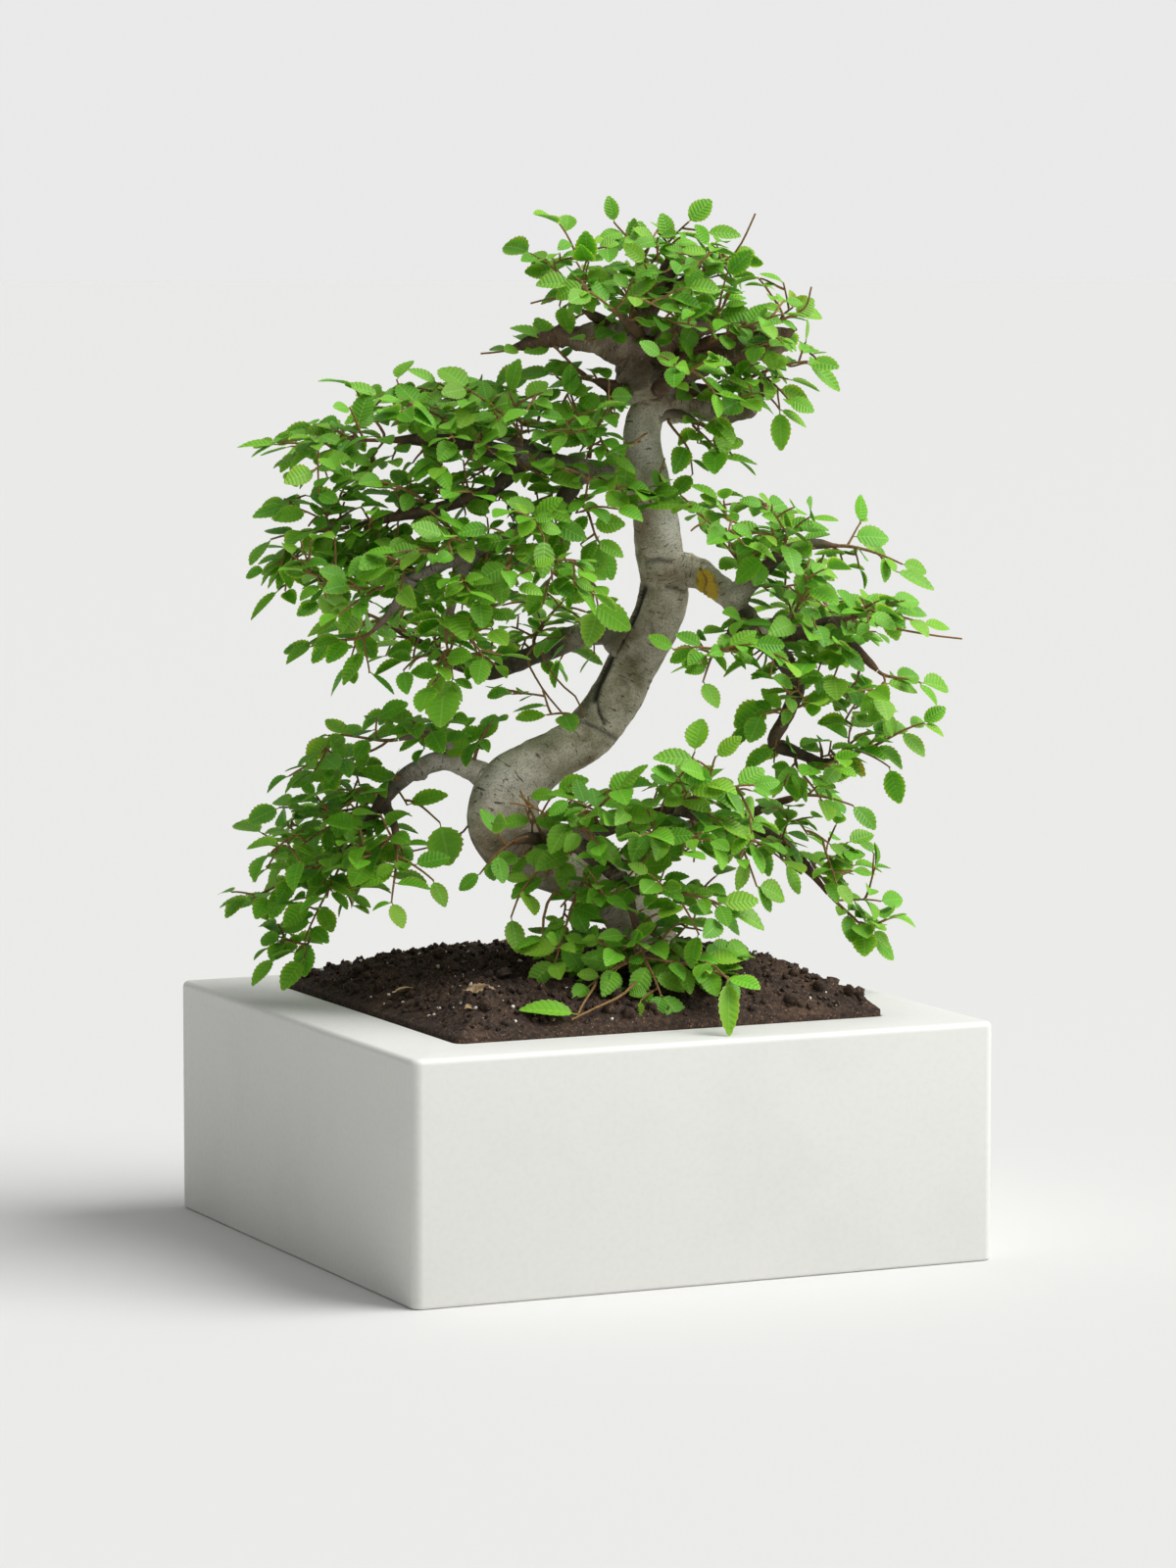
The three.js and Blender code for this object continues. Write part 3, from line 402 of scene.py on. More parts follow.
def dress(piece: bpy.types.Object, nodes: list[str]) -> None:
    """Let a finished piece ride on the tree and stand for CAD nodes.

    Args:
        piece: the finished object.
        nodes: the CAD nodes that it replaces, none where it is only an addition.
    """
    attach(piece, "root")
    if nodes:
        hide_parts(*nodes)
    log.info("%s: %d faces", piece.name, len(piece.data.polygons))


# Finishes


def linear(colour: str) -> tuple[float, float, float, float]:
    """An sRGB hex colour as linear red, green, blue and alpha.

    Each channel c becomes c / 12.92 below 0.04045, and ((c + 0.055) / 1.055)^2.4 above it.
    """
    channels = [int(colour[at:at + 2], 16) / 255 for at in (1, 3, 5)]
    red, green, blue = (c / 12.92 if c < 0.04045 else ((c + 0.055) / 1.055)**2.4
                        for c in channels)
    return red, green, blue, 1.0


def per_metre(size: float) -> float:
    """The scale of a pattern whose features are size millimetres wide."""
    return 1 / (size * METRES)


def add_node(tree: bpy.types.NodeTree, kind: str, settings: dict | None = None,
             inputs: dict | None = None,
             stops: tuple[tuple[float, str], ...] = ()) -> bpy.types.Node:
    """Add a node with its settings and links.

    Args:
        tree: the node tree that it joins.
        kind: the node's type.
        settings: its properties by name.
        inputs: its sockets by name or number, each with a constant, another node's output, or
            another node, whose first live output is then taken.
        stops: places and sRGB colours of a colour ramp.

    Returns:
        The new node.
    """
    node = tree.nodes.new(kind)
    for name, value in (settings or {}).items():
        setattr(node, name, value)
    for name, value in (inputs or {}).items():
        if isinstance(value, bpy.types.Node):
            value = next(output for output in value.outputs if output.enabled)
        if isinstance(value, bpy.types.NodeSocket):
            tree.links.new(value, node.inputs[name])
        else:
            node.inputs[name].default_value = value
    if stops:
        ramp = node.color_ramp.elements
        for extra in range(len(stops) - len(ramp)):
            ramp.new(0.5 + 0.1 * extra)
        for element, (position, colour) in zip(ramp, stops):
            element.position = position
            element.color = linear(colour)
    return node


# Node types and settings that the finishes share
ATTRIBUTE = "ShaderNodeAttribute"
PLACE = "ShaderNodeTexCoord"
NOISE = "ShaderNodeTexNoise"
RANGE = "ShaderNodeMapRange"
SUM = "ShaderNodeMath"
MIX = "ShaderNodeMix"
SMOOTH = {"interpolation_type": "SMOOTHSTEP"}
COLOURS = {"data_type": "RGBA"}
TIMES = {"operation": "MULTIPLY"}
TIMES_AND_MORE = {"operation": "MULTIPLY_ADD"}


@dataclass(frozen=True)
class Finish:
    """A material of one shader, with a colour, a roughness and a relief that patterns feed."""

    name: str
    roughness: float
    ior: float = 1.5

    def start(self) -> tuple[bpy.types.Material, bpy.types.NodeTree, bpy.types.NodeSocket]:
        """Make the material with its plain shader.

        Returns:
            The material, its node tree, and the place on the object that patterns read.
        """
        material = bpy.data.materials.new(self.name)
        material.use_nodes = True
        tree = material.node_tree
        shader = tree.nodes["Principled BSDF"]
        shader.inputs["Roughness"].default_value = self.roughness
        shader.inputs["IOR"].default_value = self.ior
        return material, tree, add_node(tree, PLACE).outputs["Object"]

    def cover(self, tree: bpy.types.NodeTree, colour: bpy.types.Node,
              height: bpy.types.Node | None = None, relief: float = 0.0) -> None:
        """Lead patterns into the shader.

        Args:
            tree: the material's nodes.
            colour: the node that gives the base colour.
            height: the node that gives the relief, from 0 to 1.
            relief: how many millimetres high 1 stands.
        """
        shader = tree.nodes["Principled BSDF"]
        output = next(output for output in colour.outputs if output.enabled)
        tree.links.new(output, shader.inputs["Base Color"])
        if height is not None:
            bump = add_node(tree, "ShaderNodeBump", inputs={
                "Strength": 1.0, "Distance": relief * METRES, "Height": height})
            tree.links.new(bump.outputs["Normal"], shader.inputs["Normal"])


@dataclass(frozen=True)
class GlazedStoneware(Finish):
    """White stoneware, slab built and dipped in a matt glaze.

    The glaze is even and chalky, with a faint unevenness of tone where it ran thin, pinholes
    too small to count and a soft waviness from the slab under it.
    """

    name: str = "matt_white_glazed_stoneware"
    roughness: float = 0.5
    body: str = "#e6e6e1"
    thin_glaze: str = "#dededa"
    cloud: float = 60.0
    mottle: float = 3.0
    pinhole: float = 1.1

    def build(self) -> bpy.types.Material:
        """Make the material: clouds of thinner glaze, then pinholes and slab waves as relief."""
        material, tree, place = self.start()
        clouds, mottle, pinholes = (
            add_node(tree, NOISE, inputs={
                "Vector": place, "Scale": per_metre(size), "Detail": detail})
            for size, detail in ((self.cloud, 3.0), (self.mottle, 3.0), (self.pinhole, 1.0)))
        broad = add_node(tree, RANGE, SMOOTH, {0: clouds, 1: 0.45, 2: 0.8, 3: 0.0, 4: 0.6})
        close = add_node(tree, RANGE, SMOOTH, {0: mottle, 1: 0.4, 2: 0.75})
        thin = add_node(tree, SUM, TIMES_AND_MORE, {0: close, 1: 0.35, 2: broad})
        colour = add_node(tree, MIX, COLOURS, {
            0: thin, 6: linear(self.body), 7: linear(self.thin_glaze)})
        pits = add_node(tree, RANGE, SMOOTH, {0: pinholes, 1: 0.68, 2: 0.76, 3: 0.5, 4: 0.0})
        waves = add_node(tree, SUM, TIMES_AND_MORE, {0: mottle, 1: 0.5, 2: pits})
        self.cover(tree, colour, waves, 0.05)
        rough = add_node(tree, RANGE, SMOOTH, {
            0: mottle, 1: 0.3, 2: 0.7, 3: self.roughness - 0.06, 4: self.roughness + 0.08})
        tree.links.new(rough.outputs[0], tree.nodes["Principled BSDF"].inputs["Roughness"])
        return material


@dataclass(frozen=True)
class MouldedNet(Finish):
    """Black polypropylene net, extruded and cut: dull, with a faint grey bloom of dust."""

    name: str = "extruded_black_polypropylene_net"
    roughness: float = 0.55
    plastic: str = "#1c1f21"
    dust: str = "#4a453d"

    def build(self) -> bpy.types.Material:
        """Make the material: dust in patches, with the plastic's fine grain as relief."""
        material, tree, place = self.start()
        patches = add_node(tree, NOISE, inputs={
            "Vector": place, "Scale": per_metre(4.0), "Detail": 3.0})
        share = add_node(tree, RANGE, SMOOTH, {0: patches, 1: 0.5, 2: 0.8, 3: 0.0, 4: 0.6})
        colour = add_node(tree, MIX, COLOURS, {
            0: share, 6: linear(self.plastic), 7: linear(self.dust)})
        grain = add_node(tree, NOISE, inputs={"Vector": place, "Scale": per_metre(0.6)})
        self.cover(tree, colour, grain, 0.04)
        return material


@dataclass(frozen=True)
class DampSoil(Finish):
    """Peaty bonsai soil, damp and dark brown: painted shade turns it nearly black in its hollows, and
    painted light reddish brown on its lumps.
    """

    name: str = "damp_peaty_soil"
    roughness: float = 0.92
    dark_earth_and_hollow_shade: str = "#1e140e"
    earth: str = "#37271c"
    lump_earth_and_painted_light: str = "#56402f"
    fibre: str = "#8a6b4c"
    crumb: float = 2.2
    patch: float = 16.0
    fleck: float = 1.0

    def build(self) -> bpy.types.Material:
        """Make the material: crumbs over patches, flecks of fibre, and the crumbs as relief."""
        material, tree, place = self.start()
        crumbs, patches, fibres = (
            add_node(tree, NOISE, inputs={
                "Vector": place, "Scale": per_metre(size), "Detail": detail})
            for size, detail in ((self.crumb, 6.0), (self.patch, 3.0), (self.fleck, 2.0)))
        broad = add_node(tree, SUM, TIMES, {0: patches, 1: 0.35})
        tone = add_node(tree, SUM, TIMES_AND_MORE, {0: crumbs, 1: 0.65, 2: broad})
        # The colour follows the crumbs that make the relief, with painted shade where they sink and
        # painted light where they rise, over the patches' own tone
        earth = add_node(tree, "ShaderNodeValToRGB", inputs={0: tone}, stops=(
            (0.36, self.dark_earth_and_hollow_shade), (0.5, self.earth), (0.66, self.lump_earth_and_painted_light)))
        flecks = add_node(tree, RANGE, SMOOTH, {0: fibres, 1: 0.63, 2: 0.71})
        colour = add_node(tree, MIX, COLOURS, {0: flecks, 6: earth, 7: linear(self.fibre)})
        self.cover(tree, colour, crumbs, 1.2)
        return material


@dataclass(frozen=True)
class Grit(Finish):
    """Grains in potting soil. Perlite is puffed white rock, dull and pitted like foam."""

    name: str = "expanded_perlite_grit"
    roughness: float = 0.8
    light: str = "#efece2"
    dark: str = "#b5ab98"
    pit: float = 0.7

    def build(self) -> bpy.types.Material:
        """Make the material: pits darkened by soil, and the pits as relief."""
        material, tree, place = self.start()
        pits = add_node(tree, NOISE, inputs={
            "Vector": place, "Scale": per_metre(self.pit), "Detail": 3.0})
        share = add_node(tree, RANGE, SMOOTH, {0: pits, 1: 0.4, 2: 0.7})
        colour = add_node(tree, MIX, COLOURS, {
            0: share, 6: linear(self.light), 7: linear(self.dark)})
        self.cover(tree, colour, pits, 0.3)
        return material


@dataclass(frozen=True)
class ZelkovaBark(Finish):
    """Bark of a small-leaved zelkova.

    It is smooth and grey on old wood, with dark specks and short pale pores across it, browner
    and mossy in its folds, where the moss is laid with painted shade, dark brown on limbs, and
    reddish brown on this year's twigs. Painted shade turns it nearly black in its cracks and dents
    and on wood in the tree's shade, and painted light turns it pale where light falls on it, as
    well as on its own smooth pale patches.
    """

    name: str = "living_zelkova_bark"
    roughness: float = 0.78
    old_light: str = "#e3dac3"
    old_dark: str = "#b8ad8f"
    # Pale bark: smooth pale patches, and painted light on the trunk's lit side and on limbs in the
    # tree's shadow
    bare: str = "#e4dfd2"
    limb: str = "#65503c"
    limb_dark: str = "#3a2e22"
    twig: str = "#6e4b33"
    shoot: str = "#94703f"
    # Moss with painted shade: dark olive laid into the folds
    moss_and_painted_shade: str = "#66653a"
    rust: str = "#7a5236"
    pore: str = "#d8cfb9"
    # Painted shade: nearly black, for the cracks, the dents and the wood in the tree's shade
    crack_and_painted_shade: str = "#1e1711"
    blotch: float = 9.0
    speck: float = 1.9
    fine: float = 0.9
    pore_size: float = 1.5

    def build(self) -> bpy.types.Material:
        """Make the material from the bark's age, which its girth gives, and layers of noise."""
        material, tree, place = self.start()
        grain = add_node(tree, ATTRIBUTE, {"attribute_name": "grain"}).outputs["Vector"]
        girth, shade, crack_and_painted_shade, bare, rust = (
            add_node(tree, ATTRIBUTE, {"attribute_name": name}).outputs["Fac"]
            for name in ("girth", "shade", "crack_and_painted_shade", "bare", "rust"))
        blotch, fine = (
            add_node(tree, NOISE, inputs={
                "Vector": place, "Scale": per_metre(size), "Detail": detail})
            for size, detail in ((self.blotch, 5.0), (self.fine, 4.0)))
        patchy = add_node(tree, RANGE, SMOOTH, {0: blotch, 1: 0.35, 2: 0.66})
        second_year = add_node(tree, RANGE, SMOOTH, {0: girth, 1: 0.55, 2: 1.3})
        old, limb, young = (
            add_node(tree, MIX, COLOURS, {0: share, 6: linear(pale), 7: linear(dark)})
            for share, pale, dark in ((patchy, self.old_light, self.old_dark),
                                      (patchy, self.limb, self.limb_dark),
                                      (second_year, self.shoot, self.twig)))
        branch = add_node(tree, RANGE, SMOOTH, {0: girth, 1: 1.2, 2: 2.6})
        wood = add_node(tree, MIX, COLOURS, {0: branch, 6: young, 7: limb})
        aged = add_node(tree, RANGE, SMOOTH, {0: girth, 1: 3.8, 2: 7.0})
        wood = add_node(tree, MIX, COLOURS, {0: aged, 6: wood, 7: old})
        damp = add_node(tree, RANGE, SMOOTH, {0: blotch, 1: 0.42, 2: 0.72, 3: 0.1, 4: 0.6})
        # Moss and painted shade in the folds and in the hollows between knobs
        moss_and_fold_shade = add_node(tree, SUM, TIMES, {0: damp, 1: shade})
        across = add_node(tree, "ShaderNodeMapping", inputs={
            "Vector": grain, "Scale": (0.35, 0.35, 1.6)})
        pores = add_node(tree, NOISE, inputs={
            "Vector": across, "Scale": per_metre(self.pore_size), "Detail": 1.0})
        old_pores = add_node(tree, RANGE, SMOOTH, {0: girth, 1: 2.0, 2: 5.0, 3: 0.0, 4: 0.55})
        open_pores = add_node(tree, RANGE, SMOOTH, {0: pores, 1: 0.64, 2: 0.72})
        dashes = add_node(tree, SUM, TIMES, {0: open_pores, 1: old_pores})
        spots = add_node(tree, NOISE, inputs={
            "Vector": across, "Scale": per_metre(self.speck), "Detail": 3.0, "Distortion": 0.8})
        specks = add_node(tree, RANGE, SMOOTH, {0: spots, 1: 0.3, 2: 0.39, 3: 0.8, 4: 0.0})
        # Darker towards limb_dark where the fine relief is low
        dust = add_node(tree, RANGE, SMOOTH, {0: fine, 1: 0.36, 2: 0.55, 3: 0.35, 4: 0.0})
        # The first mix paints smooth pale bark and painted light, and the last paints shade nearly
        # black
        for share, colour in ((bare, self.bare), (rust, self.rust), (moss_and_fold_shade, self.moss_and_painted_shade),
                              (dashes, self.pore), (specks, self.limb_dark),
                              (dust, self.limb_dark), (crack_and_painted_shade, self.crack_and_painted_shade)):
            wood = add_node(tree, MIX, COLOURS, {0: share, 6: wood, 7: linear(colour)})
        raised = add_node(tree, SUM, TIMES_AND_MORE, {0: fine, 1: 0.6, 2: dashes})
        sunk = add_node(tree, SUM, {"operation": "SUBTRACT"}, {0: raised, 1: specks})
        self.cover(tree, wood, sunk, 0.4)
        return material


@dataclass(frozen=True)
class LivingLeaf(Finish):
    """A small zelkova leaf: a thin waxy blade, bright green, with paler veins.

    Its side veins run forward from the midrib, one to each tooth, and sink a little into the
    blade between swollen cells. The underside is paler and duller, young leaves are yellower,
    and a few old ones fade to yellow and brown from the margin in.
    """

    name: str = "living_zelkova_leaf"
    roughness: float = 0.5
    deep: str = "#4f9418"
    bright: str = "#68b220"
    young: str = "#a6c83a"
    under: str = "#76a53c"
    vein: str = "#9dc74f"
    stalk: str = "#9aa552"
    faded: str = "#c2a02a"
    withered: str = "#8a6a35"
    teeth: int = 8
    vein_lean: float = 0.16
    mottle: float = 2.5

    def build(self) -> bpy.types.Material:
        """Make the material from the blade's chart, its side, its tint, youth and fading."""
        material, tree, place = self.start()
        chart = add_node(tree, "ShaderNodeUVMap", {"uv_map": "chart"})
        split = add_node(tree, "ShaderNodeSeparateXYZ", inputs={0: chart})
        tint, youth, below, fade = (
            add_node(tree, ATTRIBUTE, {"attribute_name": name}).outputs["Fac"]
            for name in ("tint", "youth", "below", "fade"))
        aside = add_node(tree, SUM, {"operation": "ABSOLUTE"}, {0: split.outputs[0]})
        along = split.outputs[1]
        lean = add_node(tree, SUM, TIMES, {0: aside, 1: self.vein_lean})
        start = add_node(tree, SUM, {"operation": "SUBTRACT"}, {0: along, 1: lean})
        run = add_node(tree, SUM, TIMES, {0: start, 1: self.teeth})
        nearest = add_node(tree, SUM, {"operation": "PINGPONG"}, {0: run, 1: 0.5})
        side_vein = add_node(tree, RANGE, SMOOTH, {0: nearest, 1: 0.02, 2: 0.12, 3: 0.24, 4: 0.0})
        midrib = add_node(tree, RANGE, SMOOTH, {0: aside, 1: 0.02, 2: 0.09, 3: 0.5, 4: 0.0})
        veins = add_node(tree, SUM, {"operation": "MAXIMUM"}, {0: side_vein, 1: midrib})
        mottle = add_node(tree, NOISE, inputs={
            "Vector": place, "Scale": per_metre(self.mottle), "Detail": 3.0})
        own = add_node(tree, SUM, TIMES, {0: tint, 1: 0.85})
        tone = add_node(tree, SUM, TIMES_AND_MORE, {0: mottle, 1: 0.3, 2: own})
        share = add_node(tree, RANGE, SMOOTH, {0: tone})
        green = add_node(tree, MIX, COLOURS, {
            0: share, 6: linear(self.deep), 7: linear(self.bright)})
        # Painted highlight: the blade turns paler toward its rim
        painted_rim_highlight = add_node(tree, RANGE, SMOOTH, {0: aside, 1: 0.86, 2: 1.0, 3: 0.0, 4: 0.3})
        pale = add_node(tree, SUM, TIMES, {0: below, 1: 0.6})
        for amount, colour in ((youth, self.young), (veins, self.vein), (painted_rim_highlight, self.vein),
                               (pale, self.under)):
            green = add_node(tree, MIX, COLOURS, {0: amount, 6: green, 7: linear(colour)})
        burnt = add_node(tree, SUM, TIMES_AND_MORE, {0: aside, 1: 0.5, 2: mottle})
        edge = add_node(tree, RANGE, SMOOTH, {0: burnt, 1: 0.72, 2: 0.9})
        dying = add_node(tree, MIX, COLOURS, {
            0: edge, 6: linear(self.faded), 7: linear(self.withered)})
        green = add_node(tree, MIX, COLOURS, {0: fade, 6: green, 7: dying})
        stalk = add_node(tree, RANGE, SMOOTH, {0: along, 1: -0.04, 2: 0.02, 3: 1.0, 4: 0.0})
        green = add_node(tree, MIX, COLOURS, {0: stalk, 6: green, 7: linear(self.stalk)})
        cells = add_node(tree, RANGE, SMOOTH, {0: nearest, 1: 0.0, 2: 0.4})
        self.cover(tree, green, cells, 0.15)
        shader = tree.nodes["Principled BSDF"]
        dull = add_node(tree, RANGE, SMOOTH, {
            0: below, 1: 0.0, 2: 1.0, 3: self.roughness, 4: self.roughness + 0.2})
        tree.links.new(dull.outputs[0], shader.inputs["Roughness"])
        shader.inputs["Specular IOR Level"].default_value = 0.35
        shader.inputs["Subsurface Weight"].default_value = 0.45
        shader.inputs["Subsurface Radius"].default_value = (0.75, 1.0, 0.2)
        shader.inputs["Subsurface Scale"].default_value = 0.8 * METRES
        return material


@dataclass(frozen=True)
class DryLeaf(Finish):
    """A fallen leaf, dried to paper: pale tan, with its veins darker and its blade blotched."""

    name: str = "dried_fallen_leaf"
    roughness: float = 0.75
    pale: str = "#c3ad86"
    brown: str = "#7a5c3c"
    blotch: float = 5.0

    def build(self) -> bpy.types.Material:
        """Make the material: blotches of darker brown, with a papery relief."""
        material, tree, place = self.start()
        blotch = add_node(tree, NOISE, inputs={
            "Vector": place, "Scale": per_metre(self.blotch), "Detail": 4.0})
        share = add_node(tree, RANGE, SMOOTH, {0: blotch, 1: 0.4, 2: 0.65})
        colour = add_node(tree, MIX, COLOURS, {
            0: share, 6: linear(self.pale), 7: linear(self.brown)})
        self.cover(tree, colour, blotch, 0.3)
        return material


@dataclass(frozen=True)
class StudioFloor(Finish):
    """A sheet of pale paper on the studio's floor."""

    name: str = "pale_paper_floor"
    roughness: float = 0.95
    paper: str = "#d2d2d0"

    def build(self) -> bpy.types.Material:
        """Make the material: one even tone."""
        material, tree, _ = self.start()
        tree.nodes["Principled BSDF"].inputs["Base Color"].default_value = linear(self.paper)
        return material


# Studio


@dataclass(frozen=True)
class Studio:
    """The floor, the light and the camera."""

    camera_place: Vector = (-1106.97, -2415.53, 483.54)
    camera_yaw: float = 24.742
    camera_pitch: float = 5.642
    camera_lens: float = 126.03
    floor_reach: float = 60000.0
    key_heading: float = 32.0
    key_height: float = 50.0
    key_spread: float = 46.0
    key_power: float = 3.45
    sky_level: float = 0.28
    sky_left: float = 0.0
    sky_top: float = 0.8
    horizon_level: float = 0.82

    def build(self) -> None:
        """Set up everything that the object stands in."""
        bpy.context.scene.view_settings.view_transform = "Standard"
        self.place_camera()
        self.lay_floor()
        self.hang_key()
        self.fill_sky()

    def place_camera(self) -> None:
        """Put the camera where the photograph was taken from."""
        camera = bpy.data.objects.new("camera", bpy.data.cameras.new("camera"))
        camera.data.lens = self.camera_lens
        camera.data.sensor_width = 36.0
        camera.data.clip_end = 100.0
        camera.location = [part * METRES for part in self.camera_place]
        pitch = math.radians(90 - self.camera_pitch)
        camera.rotation_euler = (pitch, 0.0, -math.radians(self.camera_yaw))
        bpy.context.scene.collection.objects.link(camera)
        bpy.context.scene.camera = camera

    def lay_floor(self) -> None:
        """Lay the floor just under the planter."""
        reach = self.floor_reach
        corners = np.array([[-reach, -reach, 0], [reach, -reach, 0],
                            [reach, reach, 0], [-reach, reach, 0]], float)
        floor = make_piece("studio_floor", Surface(corners, np.array([[0, 1, 2, 3]])),
                           Axes.PLANTER, StudioFloor().build())

    def hang_key(self) -> None:
        """Hang the soft main light to the front right of the planter's front face."""
        lamp = bpy.data.lights.new("key_light", "SUN")
        lamp.energy = self.key_power
        lamp.angle = math.radians(self.key_spread)
        key = bpy.data.objects.new("key_light", lamp)
        heading = math.radians(self.key_heading)
        key.rotation_euler = (math.radians(90 - self.key_height), 0.0, math.radians(90) - heading)
        bpy.context.scene.collection.objects.link(key)

    def fill_sky(self) -> None:
        """Fill the shadows with a pale sky that meets the floor in one tone at the horizon.

        Its lowest band is as bright as the floor all round. Above that it fades from an even
        level on the planter's right to none on its left, and it is brightest overhead.
        """
        world = bpy.data.worlds.new("studio")
        world.use_nodes = True
        tree = world.node_tree
        way = add_node(tree, PLACE).outputs["Generated"]
        split = add_node(tree, "ShaderNodeSeparateXYZ", inputs={0: way})
        across = add_node(tree, RANGE, SMOOTH, {
            0: split.outputs[0], 1: -0.8, 2: 0.4, 3: self.sky_left, 4: self.sky_level})
        overhead = add_node(tree, RANGE, SMOOTH, {
            0: split.outputs[2], 1: 0.45, 2: 0.95, 3: 0.0, 4: self.sky_top})
        glow = add_node(tree, RANGE, SMOOTH, {
            0: split.outputs[2], 1: 0.06, 2: 0.13, 3: self.horizon_level, 4: 0.0})
        soft = add_node(tree, SUM, {"operation": "MAXIMUM"}, {0: across, 1: overhead})
        level = add_node(tree, SUM, {"operation": "MAXIMUM"}, {0: soft, 1: glow})
        tree.links.new(level.outputs[0], tree.nodes["Background"].inputs["Strength"])
        tree.nodes["Background"].inputs["Color"].default_value = linear("#ffffff")
        bpy.context.scene.world = world


# Planter, drain screens and soil


def square_ring(half: float, rounding: float, steps: int, height: float) -> Array:
    """One level of a square with rounded corners, anticlockwise from above.

    Each corner is a quarter circle about a point rounding in from both sides.

    Args:
        half: half the square's width.
        rounding: the corners' radius.
        steps: spans of each quarter circle.
        height: the level.

    Returns:
        Points in rows.
    """
    turns = (np.arange(4)[:, None] - 1) * math.pi / 2 + np.linspace(0, math.pi / 2, steps + 1)
    corner = np.array([[1, -1], [1, 1], [-1, 1], [-1, -1]])[:, None] * (half - rounding)
    ring = corner + rounding * np.stack([np.cos(turns), np.sin(turns)], axis=-1)
    return np.column_stack([ring.reshape(-1, 2), np.full(4 * (steps + 1), height)])


def quarter(centre: tuple[float, float], radius: float, start: float, end: float,
            steps: int) -> Array:
    """Points of an arc in a profile, from one angle to another in degrees."""
    turns = np.radians(np.linspace(start, end, steps + 1))
    return np.array(centre) + radius * np.column_stack([np.cos(turns), np.sin(turns)])


@dataclass(frozen=True)
class Planter:
    """The square planter: a slab-sided pot whose wide flat rim turns in round the soil."""

    width: float = 300.0
    height: float = 115.0
    lip_width: float = 39.0
    lip_depth: float = 20.0
    wall: float = 12.0
    floor: float = 14.0
    edge_round: float = 3.0
    foot_round: float = 1.5
    corner_round: float = 5.0
    drain_radius: float = 9.0
    drain_spacing: float = 130.0
    arc_steps: int = 5
    corner_steps: int = 6

    @property
    def mouth(self) -> float:
        """Half the width of the opening."""
        return self.width / 2 - self.lip_width

    @property
    def inside(self) -> float:
        """Half the width of the hollow."""
        return self.width / 2 - self.wall

    def profile(self) -> Array:
        """The wall's outline: distance from the middle, and height.

        It runs up the outside, over the rim and down the inside to the floor, with a quarter
        circle at each edge.
        """
        half, top, edge, foot = self.width / 2, self.height, self.edge_round, self.foot_round
        steps = self.arc_steps
        mouth, inside = self.mouth, self.inside
        under = top - self.lip_depth
        return np.vstack([
            quarter((half - foot, foot), foot, -90, 0, steps),
            quarter((half - edge, top - edge), edge, 0, 90, steps),
            quarter((mouth + foot, top - foot), foot, 90, 180, steps),
            quarter((mouth + foot, under + foot), foot, 180, 270, steps),
            quarter((inside - edge, under - edge), edge, 90, 0, steps),
            quarter((inside - edge, self.floor + edge), edge, 0, -90, steps),
        ])

    def build(self) -> bpy.types.Object:
        """Carry the profile round the square, drill the drain holes, and dress the planter."""
        rings = [square_ring(half, max(self.corner_round - (self.width / 2 - half), 1.5)
                             if half > self.inside else self.corner_round,
                             self.corner_steps, height)
                 for half, height in self.profile()]
        wall = (len(rings), len(rings[0]))
        middles = np.array([[0, 0, 0], [0, 0, self.floor]], float)
        shell = Surface(np.vstack(rings + [middles]), ring_quads(*wall), end_fans(*wall))
        pot = make_piece("planter", shell, Axes.PLANTER, GlazedStoneware().build(), 35.0)
        for aside in (-1, 1):
            self.drill(pot, aside * self.drain_spacing / 2)
        dress(pot, ["pot"])
        return pot

    def drill(self, pot: bpy.types.Object, x: float) -> None:
        """Cut one round drain hole through the floor."""
        line = np.array([[[x, 0, -self.floor], [x, 0, 2 * self.floor]]], float)
        plug = sweep(line, np.full((1, 2), self.drain_radius), 48)
        cutter = make_piece("drain_drill", Surface(plug.points, plug.quads, plug.triangles),
                            Axes.PLANTER, pot.data.materials[0])
        cut = pot.modifiers.new("drain", "BOOLEAN")
        cut.object = cutter
        cut.operation = "DIFFERENCE"
        cut.solver = "EXACT"
        drilled = bpy.data.meshes.new_from_object(
            pot.evaluated_get(bpy.context.evaluated_depsgraph_get()))
        pot.modifiers.clear()
        pot.data = drilled
        bpy.data.objects.remove(cutter)


@dataclass(frozen=True)
class DrainScreens:
    """The two squares of plastic net over the drain holes, which stay as the CAD has them."""

    nodes: tuple[str, str] = ("drain_screen_1", "drain_screen_2")

    def build(self) -> None:
        """Give both screens their plastic."""
        net = MouldedNet().build()
        for node in self.nodes:
            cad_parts[node].material_slots[0].material = net
            log.info("%s keeps its CAD shape", node)


